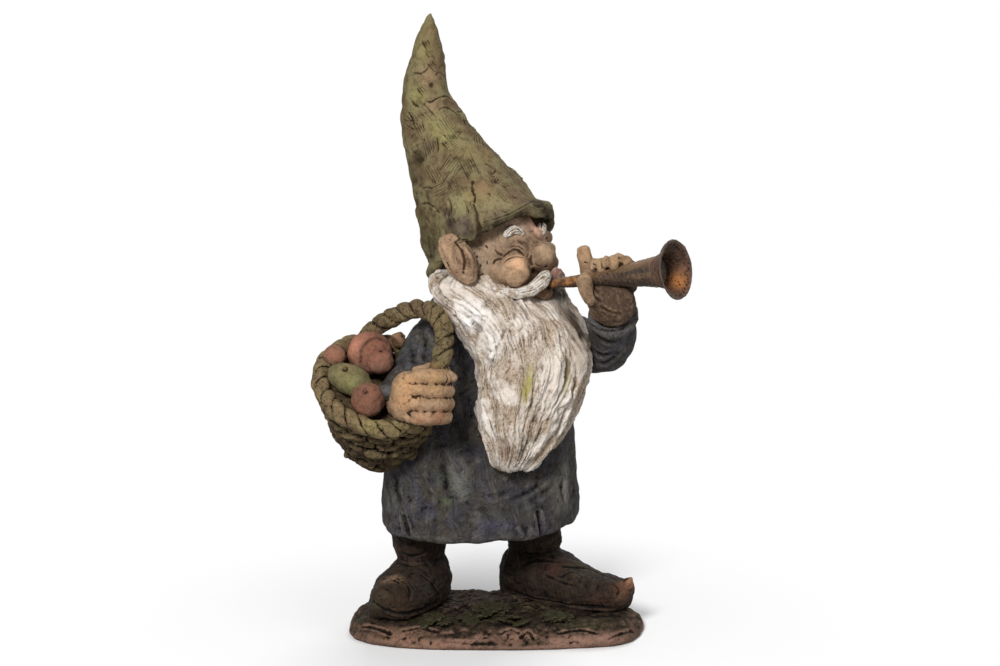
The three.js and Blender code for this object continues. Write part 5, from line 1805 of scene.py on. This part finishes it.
def turned(profile):
    """Spin a closed profile of distance and radius about the horn's axis."""
    form = bmesh.new()
    places = [HORN_START + HORN_AHEAD * far + HORN_ASIDE * out for far, out in rounded(profile, 0.7)]
    ring = [form.verts.new(Vector(place) * MM) for place in places]
    edges = [form.edges.new(pair) for pair in zip(ring, ring[1:])]
    lathe = {"cent": Vector(HORN_START) * MM, "axis": Vector(HORN_AHEAD), "dvec": (0, 0, 0)}
    bmesh.ops.spin(form, geom=[*ring, *edges], **lathe, angle=math.tau, steps=96, use_merge=True)
    bmesh.ops.remove_doubles(form, verts=form.verts, dist=1e-6)
    bmesh.ops.recalc_face_normals(form, faces=form.faces)
    return form


tube_high = ((tube_points - HORN_START) @ HORN_AHEAD).max()
bell_high = ((bell_points - HORN_START) @ HORN_AHEAD).max()
bell_out = np.linalg.norm(np.cross(bell_points - HORN_START, HORN_AHEAD), axis=1).max()
TUBE = [(0, 0.02), (0, 1.5), (0.3, 2.8), (12, 3.3), (34, 4.8), (56, 6.8), (74, 8.8), (tube_high, 10.2)]
TUBE += [(tube_high + 0.4, 8.5), (tube_high - 2, 4), (tube_high - 3, 0.02)]
BELL = [(tube_high - 1, 9.4), (tube_high + 2, 10.8), (bell_high - 8, 12.6), (bell_high - 3.6, 16.0)]
BELL += [(bell_high - 1.3, bell_out - 0.4), (bell_high - 0.3, bell_out), (bell_high, bell_out - 1.0)]
BELL += [(bell_high - 1.2, bell_out - 2.4), (bell_high - 4.5, 13.2), (bell_high - 10, 10.0)]
BELL += [(tube_high - 6, 7.4), (tube_high - 14, 5.2), (tube_high - 22, 2.6), (tube_high - 23, 0.02)]
print("horn", round(float(bell_high), 1), "long, bell", round(float(bell_out), 1))

# %% [markdown]
# ## Horn paint
# The tube is dark metal paint with rust and pale specks near the mouthpiece and streaks along it, with
# painted light along its top and painted shade underneath. Inside, the bell is rusty, with painted shadow
# in its upper part, and its rim is grey. Where a point lies along the axis, how far out, and where it falls
# in the picture, says which.

# %% Horn paint
# Where the painted shadow inside the bell ends, in the picture.
BELL_SHADOW_ACROSS, BELL_SHADOW_DOWN = 680, 270
RUST_SPOT = (678, 282, 6, "b9773f", 0.8)
HORN_COLOURS = ("46372d", "54402f", "100b08", "8e7258")
MOUTH_COLOURS = ("574338", "63473a", "120c09", "8e7460")
horn_paint = painted("horn_paint", *HORN_COLOURS, patch=7.0, stain=0.35, rough=0.45, shine=0.3)
mouth_paint = painted("mouth_paint", *MOUTH_COLOURS, patch=7.0, stain=0.3, rough=0.5, shine=0.15)
for name, profile, paint, slot in (
    ("tube", TUBE, horn_paint, "horn_metal"),
    ("bell", BELL, mouth_paint, "horn_mouth"),
):
    horn = Clay(f"horn_{name}_turned", [f"horn_{name}"], ease=0, form=turned(profile))
    far = (horn.points - HORN_START) @ HORN_AHEAD
    out = np.linalg.norm(np.cross(horn.points - HORN_START, HORN_AHEAD), axis=1)
    if name == "tube":
        horn.coat(0.6 * smooth(40, 8, far), "8a5633")
        horn.coat(0.8 * smooth(40, 66, far), "463629")
        for shift, size, colour in ((0, 3.0, "2a1a10"), (20, 2.4, "b9824a")):
            spots = smooth(0.15, 0.4, cloud(horn.points + shift, size))
            horn.coat(0.65 * smooth(46, 34, far) * spots, colour)
        drawn_out = horn.points - HORN_AHEAD * far[:, None] * 0.88
        for shift, colour in ((0, "2b211b"), (50, "70583f")):
            streak = smooth(0.1, 0.45, cloud(drawn_out + shift, 4))
            horn.coat(0.6 * smooth(30, 55, far) * streak, colour)
        # Painted light along the top of the tube and painted shade under it.
        horn.coat(0.6 * smooth(0.3, 0.9, horn.normals[:, 2]), "8a6a4e")
        horn.coat(0.8 * smooth(-0.1, -0.7, horn.normals[:, 2]), "2a1e17")
    else:
        inside = smooth(-0.1, 0.3, horn.normals @ HORN_AHEAD) * smooth(bell_out - 1, bell_out - 4, out)
        horn.coat(0.75 * inside, "6f4c36")
        horn.coat(0.6 * inside * smooth(0.0, 0.4, cloud(horn.points, 12)), "4a352a")
        # Painted shadow inside the upper part of the bell.
        seen = FRONT.picture(horn.points)
        bell_shadow = smooth(6, -14, seen[:, 0] - BELL_SHADOW_ACROSS + 1.2 * (seen[:, 1] - BELL_SHADOW_DOWN))
        horn.coat(0.8 * inside * bell_shadow, "38291f")
        horn.coat(0.9 * smooth(bell_out - 2.2, bell_out - 0.6, out), "46423f")
    horn.lumps(7, 0.3)
    horn.crumble(3, 0.16, 2)
    if name == "bell":
        horn.patch(*RUST_SPOT)
    horn.weather(3, 20)
    horn.finished(paint, slot)

# %% [markdown]
# ## Dowels
# Two steel pins inside the legs stay as the CAD made them: nothing shows, so there is nothing to model.
# They get drawn steel, for whoever opens the figure.

# %% Dowels
steel = Paint("dowel_steel", Metallic=1.0)
drawn = steel.noise(0.8, 2.0)
steel.feed("Base Color", steel.mix(drawn, "8d8f92", "a9abad"))
steel.feed("Roughness", 0.3 + drawn * 0.2)
for side in ("right", "left"):
    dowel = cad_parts[f"{side}_leg_dowel"].data
    dowel.materials.clear()
    dowel.materials.append(steel.material)
    print(side, "dowel keeps", len(dowel.vertices), "points")

# %% [markdown]
# ## Stage and light
# A pale floor and large soft lamps, as in a studio. Floor and sky look white but light the figure only a
# little, so that it keeps its shadows: rays that show them see white, and rays that light other things see
# grey.

# %% Stage
ground = bmesh.new()
bmesh.ops.create_grid(ground, x_segments=8, y_segments=8, size=3.0)
floor = bpy.data.objects.new("floor", bpy.data.meshes.new("floor"))
ground.to_mesh(floor.data)
ground.free()
scene.collection.objects.link(floor)


def showing(paint):
    """1 for the rays that show a thing, and 0 for those by which it lights others."""
    kinds = ("Camera", "Glossy", "Transmission")
    rays = [paint.add("ShaderNodeLightPath", out=f"Is {kind} Ray") for kind in kinds]
    return rays[0] + rays[1] + rays[2]


pale = Paint("floor_pale", Roughness=0.9)
away = pale.add("ShaderNodeVectorMath", {"operation": "LENGTH"}, {0: pale.place}, out="Value")
seen = showing(pale)
white = pale.add("ShaderNodeEmission", {}, {"Color": (1, 1, 1, 1), "Strength": 1.0})
pale.feed("Base Color", pale.mix(seen, "a8a8a8", "f6f6f6"))
sockets = {0: away.step(0.08, 0.28) * seen, 1: Wire(pale, pale.shader.outputs[0]), 2: white}
pale.show(pale.add("ShaderNodeMixShader", {}, sockets))
floor.data.materials.append(pale.material)


class Sky(Paint):
    """The world, with the same one way to add nodes."""

    def __init__(self, name):
        scene.world = bpy.data.worlds.new(name)
        scene.world.use_nodes = True
        self.tree = scene.world.node_tree


sky = Sky("studio")
soft = sky.add("ShaderNodeBackground", {}, {"Color": (1, 1, 1, 1), "Strength": 0.18})
white = sky.add("ShaderNodeBackground", {}, {"Color": (1, 1, 1, 1), "Strength": 1.0})
sky.show(sky.add("ShaderNodeMixShader", {}, {0: showing(sky), 1: soft, 2: white}), "World Output")

# Each lamp: name, place and size in metres, and power in watts.
LAMPS = [
    ("key", (-0.6, -2.0, 1.45), 0.55, 60),
    ("fill", (1.6, -1.3, 0.8), 1.2, 9),
    ("back", (0.5, 1.5, 1.6), 1.2, 20),
]
for name, place, size, power in LAMPS:
    lamp = bpy.data.objects.new(name, bpy.data.lights.new(name, "AREA"))
    lamp.data.size = size
    lamp.data.energy = power
    lamp.location = place
    lamp.rotation_euler = (Vector(AIM) * MM - lamp.location).to_track_quat("-Z", "Y").to_euler()
    scene.collection.objects.link(lamp)
scene.view_settings.view_transform = "Standard"
print("lamps", len(LAMPS))
